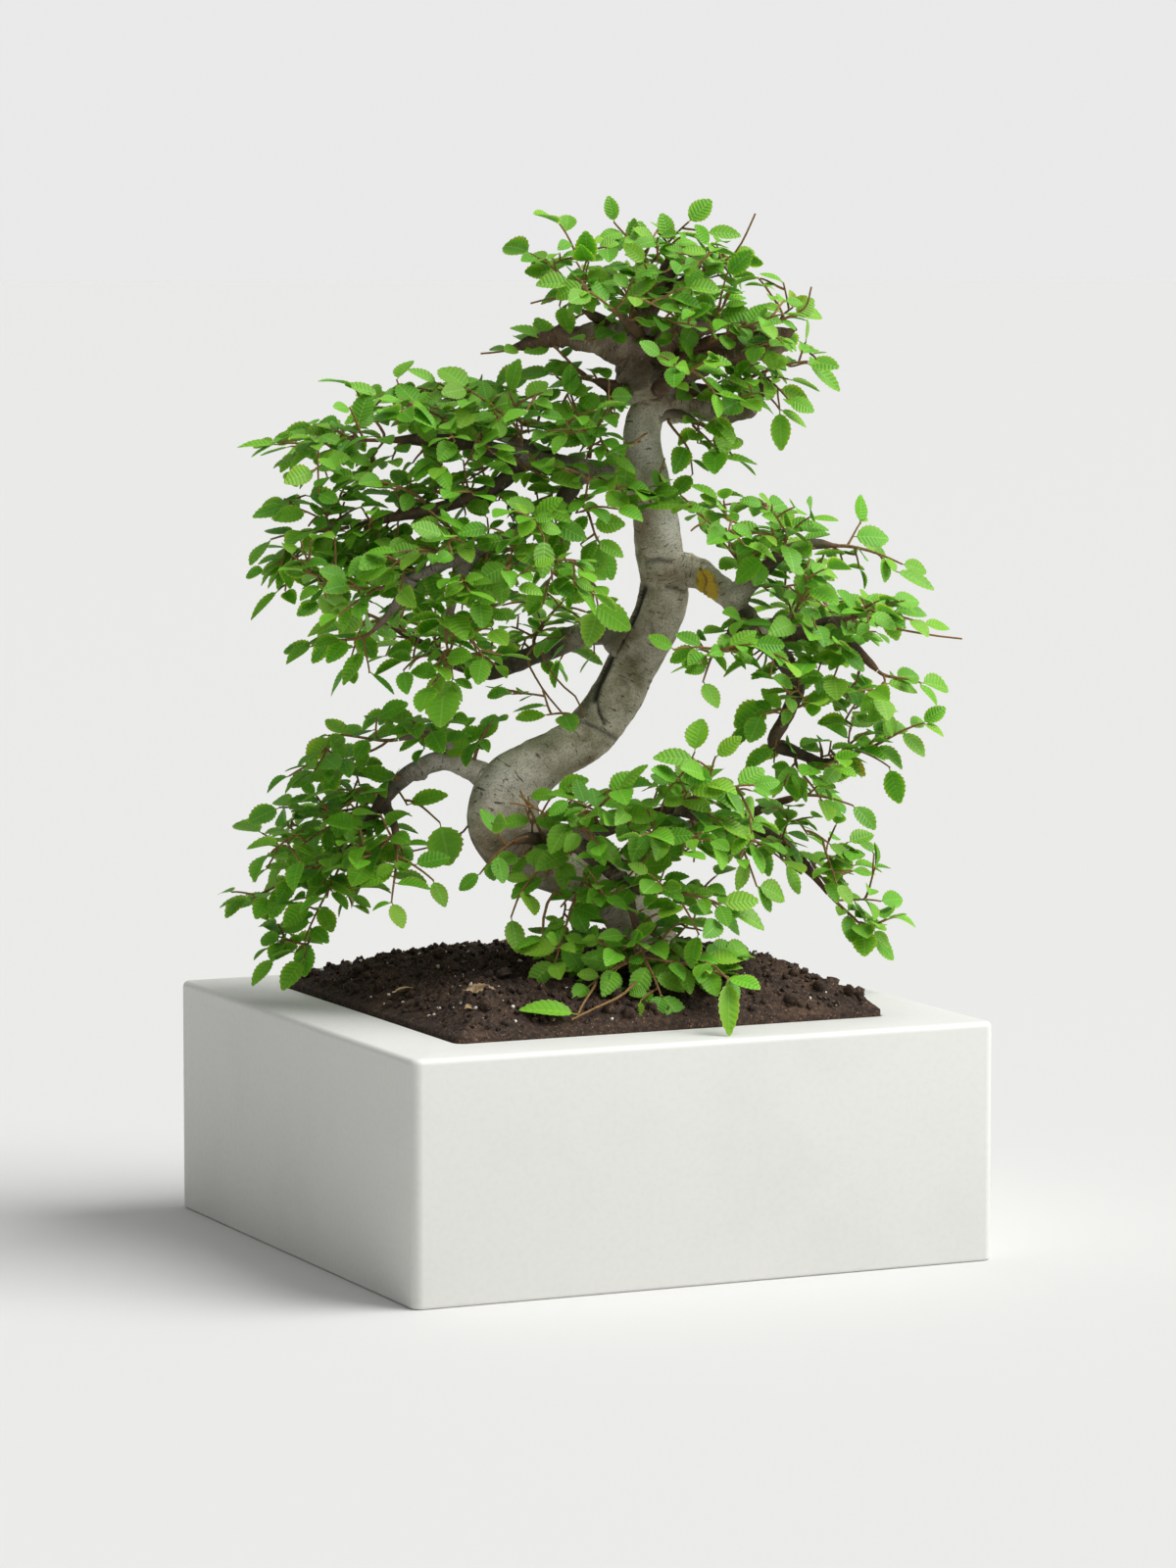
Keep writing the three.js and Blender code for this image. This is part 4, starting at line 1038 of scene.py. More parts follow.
@dataclass(frozen=True)
class SoilBed:
    """The root ball and the mound of soil over it, with loose crumbs, grit and dry leaves."""

    planter: Planter
    mound_height: float = 24.0
    mound_edge: float = 2.0
    lump_cells: int = 9
    lump_height: float = 2.2
    crumb_height: float = 1.5
    crumb_size: float = 4.5
    cells: int = 236
    mouth_round: float = 3.5
    hollow_round: float = 5.0
    base_round: float = 2.0
    screen_room: float = 2.1
    crumbs: int = 2600
    clods: int = 260
    grit: int = 230
    seed: int = 7
    slope: float = 0.045

    def lumps(self, x: Array, y: Array) -> Array:
        """The CAD soil's seeded lumps, run straight between its grid points."""
        draws = Draws(self.seed)
        row = self.lump_cells + 1
        table = np.array([draws.number() * 2 - 1 for _ in range(row * row)]).reshape(row, row)
        mouth = self.planter.mouth - GAP
        column = np.clip((x / mouth + 1) / 2 * self.lump_cells, 0, self.lump_cells - 1e-6)
        line = np.clip((y / mouth + 1) / 2 * self.lump_cells, 0, self.lump_cells - 1e-6)
        left, front = column.astype(int), line.astype(int)
        across, deep = column - left, line - front
        near = table[front, left] * (1 - across) + table[front, left + 1] * across
        far = table[front + 1, left] * (1 - across) + table[front + 1, left + 1] * across
        return near * (1 - deep) + far * deep

    def height(self, x: Array, y: Array) -> Array:
        """Height of the soil: a mound that falls to the rim, with lumps and crumbs on it.

        With e the share of the way to the edge, it is the rim plus the edge's height plus the
        mound times 1 - e^4, plus lumps and crumbs times 1 - e^8. The mound leans up to the
        tree's right.
        """
        mouth = self.planter.mouth - GAP
        edge = np.maximum(np.abs(x), np.abs(y)) / mouth
        turn = math.radians(Axes.TREE.value)
        right = x * math.cos(turn) + y * math.sin(turn)
        mound = self.mound_edge + (self.mound_height - self.mound_edge + self.slope * right) * (
            1 - edge**4)
        flat = np.stack([x, y, np.zeros_like(x)], axis=-1)
        crumbs = np.abs(rough_noise(flat, self.crumb_size, 11, 4))
        rough = self.lumps(x, y) * self.lump_height + (crumbs - 0.35) * self.crumb_height * 2
        return self.planter.height + mound + rough * (1 - edge**8)

    def rounded(self, along: Array, half: float, rounding: float) -> Array:
        """Points of the unit square's rim moved out to a square with rounded corners.

        A point is held inside the corners' centres, and stands off from there by the radius.
        """
        spread = along * half
        held = np.clip(spread, rounding - half, half - rounding)
        return held + rounding * unit(spread - held)

    def build(self) -> None:
        """Make the bed and everything that lies loose on it."""
        self.build_bed()
        earth = DampSoil().build()
        self.scatter_grains("soil_crumbs", self.crumbs, (0.5, 2.2), 31, earth)
        self.scatter_grains("soil_clods", self.clods, (1.6, 4.6), 33, earth)
        self.scatter_grains("perlite_grains", self.grit, (0.45, 1.5), 32, Grit().build())
        self.strew_leaves()

    def build_bed(self) -> None:
        """Make the closed block: the top as a grid of heights, then levels down under the lip."""
        row = self.cells + 1
        share = np.linspace(-1, 1, row)
        deep, across = np.meshgrid(share, share, indexing="ij")
        square = np.stack([across, deep], axis=-1).reshape(-1, 2)
        reach = np.maximum(np.abs(square).max(axis=1, keepdims=True), 1e-9)
        mouth = self.planter.mouth - GAP
        flat = self.rounded(square / reach, mouth, self.mouth_round) * reach
        top = np.column_stack([flat, self.height(flat[:, 0], flat[:, 1])])
        grid = np.arange(row * row).reshape(row, row)
        quads = np.stack([grid[:-1, :-1], grid[:-1, 1:], grid[1:, 1:], grid[1:, :-1]],
                         axis=-1).reshape(-1, 4)
        rim = np.concatenate([grid[0, :-1], grid[:-1, -1], grid[-1, :0:-1], grid[:0:-1, 0]])
        inside = self.planter.inside - GAP
        neck = self.planter.height - self.planter.lip_depth - GAP
        base = self.planter.floor + self.screen_room
        edge = self.planter.edge_round
        levels = [(mouth, self.mouth_round, neck), (inside - edge, self.base_round, neck),
                  (inside, self.hollow_round, neck - edge),
                  (inside, self.hollow_round, base + edge),
                  (inside - edge, self.base_round, base)]
        rings = [np.column_stack([self.rounded(square[rim], half, rounding),
                                  np.full(len(rim), level)])
                 for half, rounding, level in levels]
        points = np.vstack([top, *rings, [[0.0, 0.0, base]]])
        count = len(rim)
        loops = [rim] + [row * row + step * count + np.arange(count) for step in range(len(rings))]
        walls = [np.stack([np.roll(high, -1), high, low, np.roll(low, -1)], axis=1)
                 for high, low in zip(loops, loops[1:])]
        last = loops[-1]
        fan = np.stack([np.full(count, len(points) - 1), np.roll(last, -1), last], axis=1)
        bed = Surface(points, np.concatenate([quads, *walls]), fan)
        piece = make_piece("soil_bed", bed, Axes.PLANTER, DampSoil().build(), 80.0)
        dress(piece, ["soil"])

    def scatter_grains(self, name: str, count: int, sizes: tuple[float, float], seed: int,
                       finish: bpy.types.Material) -> None:
        """Strew small stones or crumbs, each an uneven twenty-sided grain sunk by a third.

        Args:
            name: the piece's name.
            count: how many grains.
            sizes: the smallest and largest radius.
            seed: which scatter it is.
            finish: their material.
        """
        draws = np.random.default_rng(seed)
        spread = draws.uniform(-1, 1, (count, 2)) * (self.planter.mouth - 4)
        size = sizes[0] + (sizes[1] - sizes[0]) * draws.random(count)**2.5
        middle = np.column_stack([spread, self.height(spread[:, 0], spread[:, 1]) + size * 0.3])
        corners, faces = grain_shape()
        turned = unit(draws.normal(size=(count, 3, 3)))
        first = turned[:, 0]
        second = square_to(turned[:, 1], first)
        spin = np.stack([first, second, np.cross(first, second)], axis=1)
        reach = size[:, None] * draws.uniform(0.5, 1.25, (count, len(corners)))
        points = middle[:, None] + (corners[None] * reach[..., None]) @ spin
        surface = Surface(points.reshape(-1, 3), triangles=repeated(faces, count, len(corners)))
        piece = make_piece(name, surface, Axes.PLANTER, finish, 80.0)
        dress(piece, ["soil"])

    def strew_leaves(self) -> None:
        """Lay the dry leaves down where they fell, each level with the soil under its middle."""
        draws = np.random.default_rng(self.seed)
        rows = []
        turn = math.radians(Axes.TREE.value)
        for x, y, length, heading in FALLEN:
            way = np.array([math.cos(heading), math.sin(heading), draws.uniform(-0.1, 0.15)])
            middle = np.array([x, y, 0]) + way * length / 2
            across = middle[0] * math.cos(turn) - middle[1] * math.sin(turn)
            deep = middle[0] * math.sin(turn) + middle[1] * math.cos(turn)
            ground = float(self.height(np.array([across]), np.array([deep]))[0]) + 1.6
            facing = unit(np.array([*draws.uniform(-0.35, 0.35, 2), 1.0]) + np.array([0, -0.3, 0]))
            rows.append((np.array([x, y, ground]), unit(way), facing, length, length * 0.42,
                         draws.uniform(0.3, 0.7), 0.12, draws.uniform(-0.6, 0.6), 0.5, 0.0, 0.0))
        leaves = LeafShape().place(np.array(rows, dtype=LEAF))
        piece = make_piece("fallen_leaves", leaves, Axes.TREE, DryLeaf().build(), 70.0)
        dress(piece, [])


# Dry leaves on the soil, in the tree's frame: x, y, length, and heading in radians
FALLEN = (
    (-66, 58, 15, 0.2), (-88, -54, 14, 0.3), (-54, -93, 20, -0.3), (-52, -122, 8, 1.0),
    (-64, -24, 14, 0.9), (-20, -30, 12, 2.2), (70, -40, 11, 0.4), (96, 10, 12, 2.6),
    (40, 70, 13, 1.1), (-30, 78, 12, 2.8),
)


def grain_shape() -> tuple[Array, Indices]:
    """Corners and faces of a regular solid with twenty sides.

    Its twelve corners are the cyclic turns of (0, 1, p) with both signs, p the golden ratio.
    """
    golden = (1 + math.sqrt(5)) / 2
    base = [(0, a, b * golden) for a in (-1, 1) for b in (-1, 1)]
    corners = np.array([np.roll(corner, turn) for turn in range(3) for corner in base])
    apart = np.linalg.norm(corners[:, None] - corners[None], axis=2)
    near = apart < 2.1
    faces = [(i, j, k) for i in range(12) for j in range(i + 1, 12) for k in range(j + 1, 12)
             if near[i, j] and near[j, k] and near[i, k]]
    faces = np.array(faces)
    a, b, c = (corners[faces[:, step]] for step in range(3))
    inward = np.sum(np.cross(b - a, c - a) * (a + b + c), axis=1) < 0
    faces[inward] = faces[inward][:, ::-1]
    return unit(corners), faces


# Wood


@dataclass(frozen=True)
class SpraySpot:
    """Where a spray starts, as a share of its limb's length, and the tips of its shoots."""

    at: float
    tips: tuple[Vector, ...]


@dataclass(frozen=True)
class Limb:
    """A limb's radius at its root and its end, its route out of the wood, and its sprays."""

    thick: tuple[float, float]
    route: tuple[Vector, ...]
    sprays: tuple[SpraySpot, ...] = ()


# The trunk's centre line, bottom to top: x, y, z and radius
TRUNK = (
    (34, 8, 96, 20), (33, 8, 118, 22), (32, 8, 134, 20), (31, 8, 147, 16.5), (25, 6, 160, 14.5),
    (13, 3, 171, 13.5), (-2, -2, 178, 13), (-16, -7, 184, 14), (-29.5, -10, 191.5, 16.5),
    (-35.5, -12, 204, 18), (-32.5, -10, 219, 16.5), (-17, -4, 231.5, 13), (3, 3, 243.5, 12.5),
    (18, 8, 260.5, 12.5), (27.5, 10, 279, 12.5), (38, 10, 299, 12), (43, 8, 317, 12),
    (40, 4, 335, 12), (37.5, 0, 354, 10.8), (34, -2, 374, 9.5), (32, 0, 391, 9),
    (36, 2, 407, 8.5), (38, 4, 420, 7.5), (32, 6, 436, 6), (30, 5, 452, 4.5), (34, 3, 466, 3),
)

# Surface roots: they leave the trunk's foot and dive into the soil
ROOTS = (
    Limb((9, 4), ((32, 8, 142), (12, 0, 132), (-6, -6, 122), (-20, -12, 108))),
    Limb((9, 4), ((32, 8, 140), (34, -14, 132), (30, -34, 122), (26, -48, 108))),
    Limb((9, 4), ((32, 8, 140), (54, 0, 132), (72, -8, 122), (86, -12, 108))),
    Limb((8, 4), ((32, 8, 140), (46, 28, 132), (58, 44, 122), (66, 56, 108))),
    Limb((8, 4), ((32, 8, 140), (18, 28, 132), (6, 46, 122), (-4, 60, 108))),
)

# Knotted old wood of the crown, where shoots were cut back year after year
CROWN_BURRS = (
    Limb((12, 7), ((36, 4, 412), (31, 1, 424), (20, -2, 434), (8, -5, 438))),
    Limb((6, 2.5), ((16, -3, 436), (0, -6, 439), (-16, -8, 437), (-32, -9, 432))),
    Limb((4.5, 3), ((36, 3, 411), (24, -1, 413), (12, -4, 415))),
    Limb((9, 5), ((38, 4, 418), (56, 2, 426), (74, 0, 430), (92, -3, 434), (106, -5, 442))),
    Limb((6.5, 4), ((38, 4, 404), (58, 4, 403), (74, 4, 400), (86, 2, 408), (90, 0, 420))),
    Limb((7, 4), ((38, 4, 424), (46, 0, 436), (60, -3, 444), (76, -4, 446), (88, -5, 440))),
    Limb((5, 3), ((34, 5, 440), (37, 2, 456), (44, 0, 470), (46, -1, 480))),
)

# Shoots that grow straight from the trunk, at shares of its height
TRUNK_SPRAYS = (
    SpraySpot(1, ((18, -6, 493), (54, -8, 493), (40, 26, 490))),
    SpraySpot(0.47, ((-14, -14, 256),)),
)

# The limbs by name, crown first. The first point of a route is inside what the limb grows from.
LIMBS = {
    "crown_left": Limb(
        (5, 2.2), ((32, 6, 435), (18, 1, 443), (4, -5, 450)),
        (SpraySpot(1, ((-13, -12, 469), (6, -24, 474), (-2, 16, 464))),)),
    "crown_left_low": Limb(
        (4.5, 2), ((37, 3, 415), (22, 0, 414), (8, -6, 417)),
        (SpraySpot(1, ((-12, -8, 434), (-12, -14, 420))),)),
    "crown_front_left": Limb(
        (4, 1.8), ((31, 6, 437), (27, -18, 443), (20, -34, 449)),
        (SpraySpot(1, ((6, -48, 460), (28, -52, 458))),)),
    "crown_front": Limb(
        (4.5, 2), ((36, 2, 410), (42, -20, 415), (50, -38, 420)),
        (SpraySpot(1, ((64, -58, 428), (40, -60, 430), (66, -46, 412))),)),
    "crown_back": Limb(
        (4.5, 1.8), ((34, 5, 429), (40, 28, 437), (47, 46, 445)),
        (SpraySpot(1, ((58, 68, 454), (32, 66, 452), (72, 52, 446))),)),
    "crown_top_right": Limb(
        (3.5, 1.6), ((30, 5, 452), (44, 2, 461), (56, -1, 467)),
        (SpraySpot(1, ((76, -4, 476), (64, -20, 482))),)),
    "crown_right": Limb(
        (5, 2.2), ((38, 4, 421), (54, 0, 431), (70, -4, 437), (84, -6, 441)),
        (SpraySpot(1, ((106, -8, 448), (98, -30, 436))), SpraySpot(0.6, ((90, -34, 446),
         (72, -20, 468))))),
    "crown_right_low": Limb(
        (5, 2), ((38, 3, 413), (54, 6, 412), (71, 8, 412), (84, 9, 418)),
        (SpraySpot(1, ((112, 8, 426), (102, -8, 408), (92, 32, 418))),)),
    "small_right": Limb(
        (3.5, 1.6), ((33, 1, 396), (48, -5, 401), (60, -8, 396)),
        (SpraySpot(1, ((76, -12, 380), (66, -22, 398))),)),
    "upper_left": Limb(
        (7, 2.2), ((34, -1, 368), (18, -8, 371), (0, -15, 375), (-20, -21, 379), (-46, -26, 386),
         (-72, -28, 389), (-94, -28, 389)),
        (SpraySpot(1, ((-144, -30, 388), (-108, -38, 405), (-126, -12, 396))),
         SpraySpot(0.74, ((-84, -38, 409), (-70, -8, 404))), SpraySpot(0.5, ((-52, -34, 414),
         (-32, -30, 412))), SpraySpot(0.24, ((-4, -24, 410), (10, -30, 396))))),
    "upper_left_back": Limb(
        (4, 1.6), ((-6, -17, 376), (-22, 14, 384), (-42, 36, 390), (-62, 48, 394)),
        (SpraySpot(1, ((-98, 56, 402), (-72, 74, 394), (-58, 34, 410))),)),
    "middle_left": Limb(
        (4, 1.8), ((-24, -22, 380), (-40, -31, 366), (-66, -36, 357), (-90, -37, 352),
         (-108, -36, 348)),
        (SpraySpot(1, ((-146, -36, 342), (-138, -30, 358), (-136, -20, 332))),
         SpraySpot(0.6, ((-92, -52, 370), (-98, -14, 338))))),
    "front_left": Limb(
        (4.8, 1.8), ((2, -16, 375), (-9, -38, 358), (-30, -52, 345), (-54, -59, 335),
         (-76, -62, 326), (-90, -62, 321)),
        (SpraySpot(1, ((-122, -62, 322), (-112, -74, 308))), SpraySpot(0.66, ((-62, -80, 346),
         (-84, -78, 338))), SpraySpot(0.4, ((-20, -74, 354), (-36, -72, 326))),
         SpraySpot(0.16, ((10, -46, 342), (6, -52, 364))))),
    "front_left_drop": Limb(
        (3.2, 1.6), ((-50, -58, 336), (-57, -64, 319), (-61, -68, 304)),
        (SpraySpot(1, ((-58, -76, 278), (-40, -78, 302))),)),
    "front_left_low": Limb(
        (2.8, 1.5), ((-78, -62, 325), (-87, -59, 310), (-96, -56, 300)),
        (SpraySpot(1, ((-126, -52, 292), (-98, -62, 280))),)),
    "back_left": Limb(
        (7, 2), ((27, 10, 287), (14, 22, 293), (0, 30, 291), (-12, 34, 285), (-26, 38, 279),
         (-42, 40, 273), (-58, 40, 276), (-78, 38, 287), (-92, 36, 296)),
        (SpraySpot(1, ((-126, 32, 308), (-118, 46, 290), (-112, 26, 276))),
         SpraySpot(0.72, ((-60, 58, 298), (-50, 72, 276))), SpraySpot(0.42, ((-6, 44, 308),
         (-26, 58, 288))))),
    "right": Limb(
        (8, 2.2), ((43, 7, 326), (60, -1, 323), (73, -8, 313), (87, -12, 298), (103, -14, 294),
         (121, -14, 300), (136, -13, 304)),
        (SpraySpot(1, ((168, -12, 300), (158, -26, 312))), SpraySpot(0.7, ((112, -36, 320),
         (126, -34, 290))))),
    "right_front": Limb(
        (4, 1.7), ((82, -10, 304), (76, -30, 298), (68, -46, 292)),
        (SpraySpot(1, ((60, -66, 276), (46, -60, 291), (84, -66, 294))),)),
    "right_top": Limb(
        (5, 2), ((76, -9, 311), (87, -10, 323), (100, -8, 334), (114, -4, 338), (126, -1, 337)),
        (SpraySpot(1, ((158, 0, 328), (138, 6, 348))), SpraySpot(0.5, ((94, -16, 358),
         (112, -24, 352))), SpraySpot(0.25, ((68, -24, 342),)))),
    "right_low": Limb(
        (5, 1.8), ((87, -12, 297), (100, -15, 283), (106, -16, 270), (101, -17, 255),
         (95, -18, 243), (106, -17, 238), (121, -16, 233), (132, -14, 237)),
        (SpraySpot(1, ((168, -14, 252), (152, -10, 230))), SpraySpot(0.42, ((114, -36, 264),
         (88, -36, 258))), SpraySpot(0.74, ((118, -30, 216), (100, -34, 224))))),
    "right_end": Limb(
        (3, 1.6), ((121, -14, 300), (134, -18, 289), (145, -20, 278)),
        (SpraySpot(1, ((166, -20, 272), (148, -28, 260))),)),
    "right_back": Limb(
        (4, 1.8), ((90, -12, 296), (104, 22, 301), (118, 44, 303)),
        (SpraySpot(1, ((142, 60, 308), (128, 64, 288), (98, 64, 312))),)),
    "low_right": Limb(
        (6.5, 2), ((13, 3, 172), (32, 20, 186), (54, 30, 195), (79, 34, 199), (98, 34, 191),
         (112, 32, 178), (124, 29, 164)),
        (SpraySpot(1, ((146, 24, 142), (150, 30, 160))), SpraySpot(0.62, ((104, 54, 176),
         (74, 56, 186))))),
    "low_right_top": Limb(
        (3, 1.6), ((79, 34, 199), (94, 31, 207), (108, 27, 212)),
        (SpraySpot(1, ((136, 24, 208), (122, 14, 222))),)),
    "front_low": Limb(
        (7, 2), ((-22, -9, 190), (-8, -32, 199), (8, -48, 203), (27, -61, 210), (47, -71, 217),
         (58, -74, 223)),
        (SpraySpot(1, ((66, -78, 242), (84, -76, 228))), SpraySpot(0.52, ((20, -76, 226),
         (40, -86, 204), (-4, -62, 220))))),
    "front_low_right": Limb(
        (3.2, 1.6), ((46, -71, 217), (61, -67, 211), (73, -61, 203)),
        (SpraySpot(1, ((94, -54, 196), (86, -60, 178))),)),
    "front_low_middle": Limb(
        (4.8, 1.8), ((-2, -40, 200), (12, -56, 188), (28, -67, 178), (44, -73, 177)),
        (SpraySpot(1, ((68, -80, 172), (58, -86, 158))), SpraySpot(0.36, ((-10, -80, 144),
         (14, -82, 176))))),
    "front_low_hanging": Limb(
        (3.2, 1.6), ((20, -62, 183), (27, -71, 167), (30, -77, 154)),
        (SpraySpot(1, ((40, -92, 130), (6, -90, 134), (72, -88, 138))),)),
    "front_low_left": Limb(
        (4.2, 1.8), ((-14, -22, 195), (-23, -42, 199), (-31, -54, 198)),
        (SpraySpot(1, ((-46, -62, 184), (-40, -76, 210))),)),
    "low_left": Limb(
        (6.5, 2.4), ((-33, -10, 217), (-50, -8, 229), (-64, -6, 233), (-78, -6, 228),
         (-90, -8, 219), (-98, -10, 207), (-108, -12, 194)),
        (SpraySpot(1, ((-150, -16, 168), (-132, -14, 146), (-118, -30, 172))),
         SpraySpot(0.72, ((-122, -28, 206), (-136, -20, 190))),
         SpraySpot(0.22, ((-40, -18, 254),)))),
    "low_left_top": Limb(
        (4, 1.6), ((-57, -7, 231), (-62, -9, 243), (-73, -11, 247), (-86, -12, 244)),
        (SpraySpot(1, ((-120, -14, 246), (-126, -10, 226), (-96, -26, 256))),)),
    "low_left_back": Limb(
        (3.5, 1.6), ((-76, -6, 228), (-90, 16, 220), (-104, 32, 208)),
        (SpraySpot(1, ((-140, 38, 200), (-126, 52, 186))),)),
    "low_left_front": Limb(
        (3, 1.5), ((-94, -9, 213), (-88, -28, 205), (-86, -42, 194)),
        (SpraySpot(1, ((-88, -60, 170), (-68, -54, 180))),)),
}


def limb_line(limb: Limb, spacing: float = 20.0) -> Line:
    """A limb's smooth centre line in straight steps, its radius running evenly to its end."""
    stations = np.array(limb.route, float)
    fine = even_route(stations, 200)
    length = np.linalg.norm(np.diff(fine, axis=0), axis=1).sum()
    steps = max(3, round(length / spacing))
    return Line(even_route(stations, steps), np.linspace(*limb.thick, steps + 1))


@dataclass(frozen=True)
class Wood:
    """Trunk, surface roots and limbs, which grew as one."""

    trunk_steps: int = 430
    trunk_sides: int = 96
    limb_steps: int = 60
    limb_sides: int = 16
    twig_end: float = 1.1

    def trunk_line(self) -> Line:
        """The trunk's centre line through its stations, in straight steps."""
        stations = np.array(TRUNK, float)
        return Line(stations[:, :3], stations[:, 3])

    def limb_lines(self) -> dict[str, Line]:
        """Every limb's line by its name, with the trunk's first."""
        return {"trunk": self.trunk_line()} | {name: limb_line(limb)
                                               for name, limb in LIMBS.items()}

    def build(self) -> None:
        """Make the trunk, its roots and the limbs."""
        bark = ZelkovaBark().build()
        self.build_trunk(bark)
        self.build_limbs("surface_roots", ROOTS, bark, 1.0, 21)
        self.build_limbs("limbs", tuple(LIMBS.values()), bark, self.twig_end, 22)
        self.build_limbs("crown_burrs", CROWN_BURRS, bark, 1.6, 23, 0.5)

    def build_trunk(self, bark: bpy.types.Material) -> None:
        """Sweep the trunk, and swell it with old growth's lumps, folds and scars."""
        stations = even_route(np.array(TRUNK, float), self.trunk_steps)
        points, radii = stations[None, :, :3], stations[None, :, 3]
        plain = sweep(points, radii, self.trunk_sides)
        shape = (1, self.trunk_steps + 1, self.trunk_sides)
        walls = plain.points[:math.prod(shape)].reshape(*shape, 3)
        muscle = rough_noise(walls * np.array([1, 1, 0.5]), 15.0, 41, 2) * 0.9
        relief = rough_noise(walls, 4.0, 43, 3) * 0.28
        split = self.cracks(walls)
        scars = np.sum([scar.at(walls) for scar in SCARS], axis=0)
        swell = muscle + relief + scars - split * 2.4
        trunk = sweep(points, radii, self.trunk_sides, swell)
        # The folds are where the bark gets moss and painted shade
        folds = np.concatenate([smooth_step(-(muscle + relief), -0.4, 1.0).ravel(), [0, 0]])
        trunk.at_points["shade"] = folds
        stain(trunk)
        # Painted shade: the cracks and the scars' dents are darkened nearly black, on top of the shade
        # patches
        dark = np.maximum(split, smooth_step(-scars, 0.5, 1.4))
        trunk.at_points["crack_and_painted_shade"] = np.maximum(
            np.concatenate([dark.ravel(), [0, 0]]), trunk.at_points["crack_and_painted_shade"])
        dress(make_piece("trunk", trunk, Axes.TREE, bark), ["trunk_and_limbs"])

    def cracks(self, walls: Array) -> Array:
        """How deep the cracks cut the front of the trunk, from 0 to 1.

        At a distance d, as the front shows it, from a crack of width w it is exp(-(d / w)^2).
        """
        depth = np.zeros(walls.shape[:-1])
        seen = seen_from_front(walls.reshape(-1, 3))[:, [0, 2]]
        front = (walls.reshape(-1, 3)[:, 1] < np.repeat(
            walls[0].mean(axis=1)[:, 1], walls.shape[2])).reshape(depth.shape)
        for crack_and_painted_shade in CRACKS:
            bends = np.array(crack_and_painted_shade.bends, float)
            for start, end in zip(bends, bends[1:]):
                span = end - start
                share = np.clip((seen - start) @ span / (span @ span), 0, 1)
                apart = np.linalg.norm(seen - start - share[:, None] * span, axis=1)
                cut = np.exp(-(apart / crack_and_painted_shade.width)**2).reshape(depth.shape)
                depth = np.maximum(depth, crack_and_painted_shade.depth * cut * front)
        return depth

    def build_limbs(self, name: str, limbs: tuple[Limb, ...], bark: bpy.types.Material,
                    end: float, seed: int, knots: float = 0.16) -> None:
        """Sweep limbs that swell into collars where they leave the wood.

        The radius runs evenly from root to end, times 1 + 0.45 exp(-run / collar), and narrows
        to the twig's over the last tenth.

        Args:
            name: the piece's name.
            limbs: what is swept.
            bark: their material.
            end: the share of the radius left at the very end, or the twig's radius above 1.
            seed: which noise roughens them.
            knots: how high their knots stand, as a share of the radius.
        """
        share = np.linspace(0, 1, self.limb_steps + 1)
        points = np.stack([even_route(np.array(limb.route, float), self.limb_steps)
                           for limb in limbs])
        thick = np.array([limb.thick for limb in limbs], float)
        radii = thick[:, :1] + (thick[:, 1:] - thick[:, :1]) * share
        run = np.linalg.norm(np.diff(points, axis=1), axis=2).sum(axis=1)[:, None] * share
        radii = radii * (1 + 0.45 * np.exp(-(run / (1.6 * thick[:, :1]))**2))
        narrow = smooth_step(share, 0.86, 1.0)
        radii = radii * (1 - narrow) + np.minimum(radii, end) * narrow
        plain = sweep(points, radii, self.limb_sides)
        shape = (len(limbs), self.limb_steps + 1, self.limb_sides)
        size = shape[1] * shape[2] + 2
        walls = plain.points.reshape(len(limbs), size, 3)[:, :-2].reshape(*shape, 3)
        knobs = rough_noise(walls, 7.0, seed, 3) * knots * radii[..., None]
        limbs_surface = sweep(points, radii, self.limb_sides, knobs)
        # The hollows between the knobs get moss and painted shade
        shade = smooth_step(-knobs / radii[..., None], -knots / 3, knots * 0.75)
        shade = shade.reshape(len(limbs), -1)
        limbs_surface.at_points["shade"] = np.concatenate(
            [shade, np.zeros((len(limbs), 2))], axis=1).ravel()
        stain(limbs_surface)
        dress(make_piece(name, limbs_surface, Axes.TREE, bark), ["trunk_and_limbs"])


@dataclass(frozen=True)
class Patch:
    """A spot on the wood: its middle, its reach along x, y and z, and its strength."""

    place: Vector
    reach: Vector
    strength: float

    def at(self, points: Array) -> Array:
        """The strength times exp(-d^2), for points that lie d reaches away."""
        offset = (points - np.array(self.place)) / np.array(self.reach)
        return self.strength * np.exp(-np.sum(offset**2, axis=-1))


# Dents and welts in the trunk, whose strength is their height
SCARS = (
    Patch((4, -9, 243), (2.2, 5, 1.7), -2.2),
    Patch((4, -9, 243), (5.5, 6, 4.5), 1.0),
    Patch((49, -2, 325), (1.8, 8, 1.4), -1.6),
    Patch((53, -2, 320), (1.5, 8, 1.6), -1.5),
    Patch((47, -2, 319), (1.3, 8, 1.2), -1.3),
    Patch((50, -2, 322), (6.5, 9, 6.0), 1.2),
    Patch((-36, -26, 206), (2.0, 6, 1.6), -1.0),
    Patch((36, -10, 352), (7, 8, 3.0), 0.8),
)


@dataclass(frozen=True)
class Crack:
    """A crack in the trunk's front: its bends in x and z, its width, and its depth to 1, which both
    cuts the bark and paints shade into it nearly black.
    """

    bends: tuple[tuple[float, float], ...]
    width: float
    depth: float
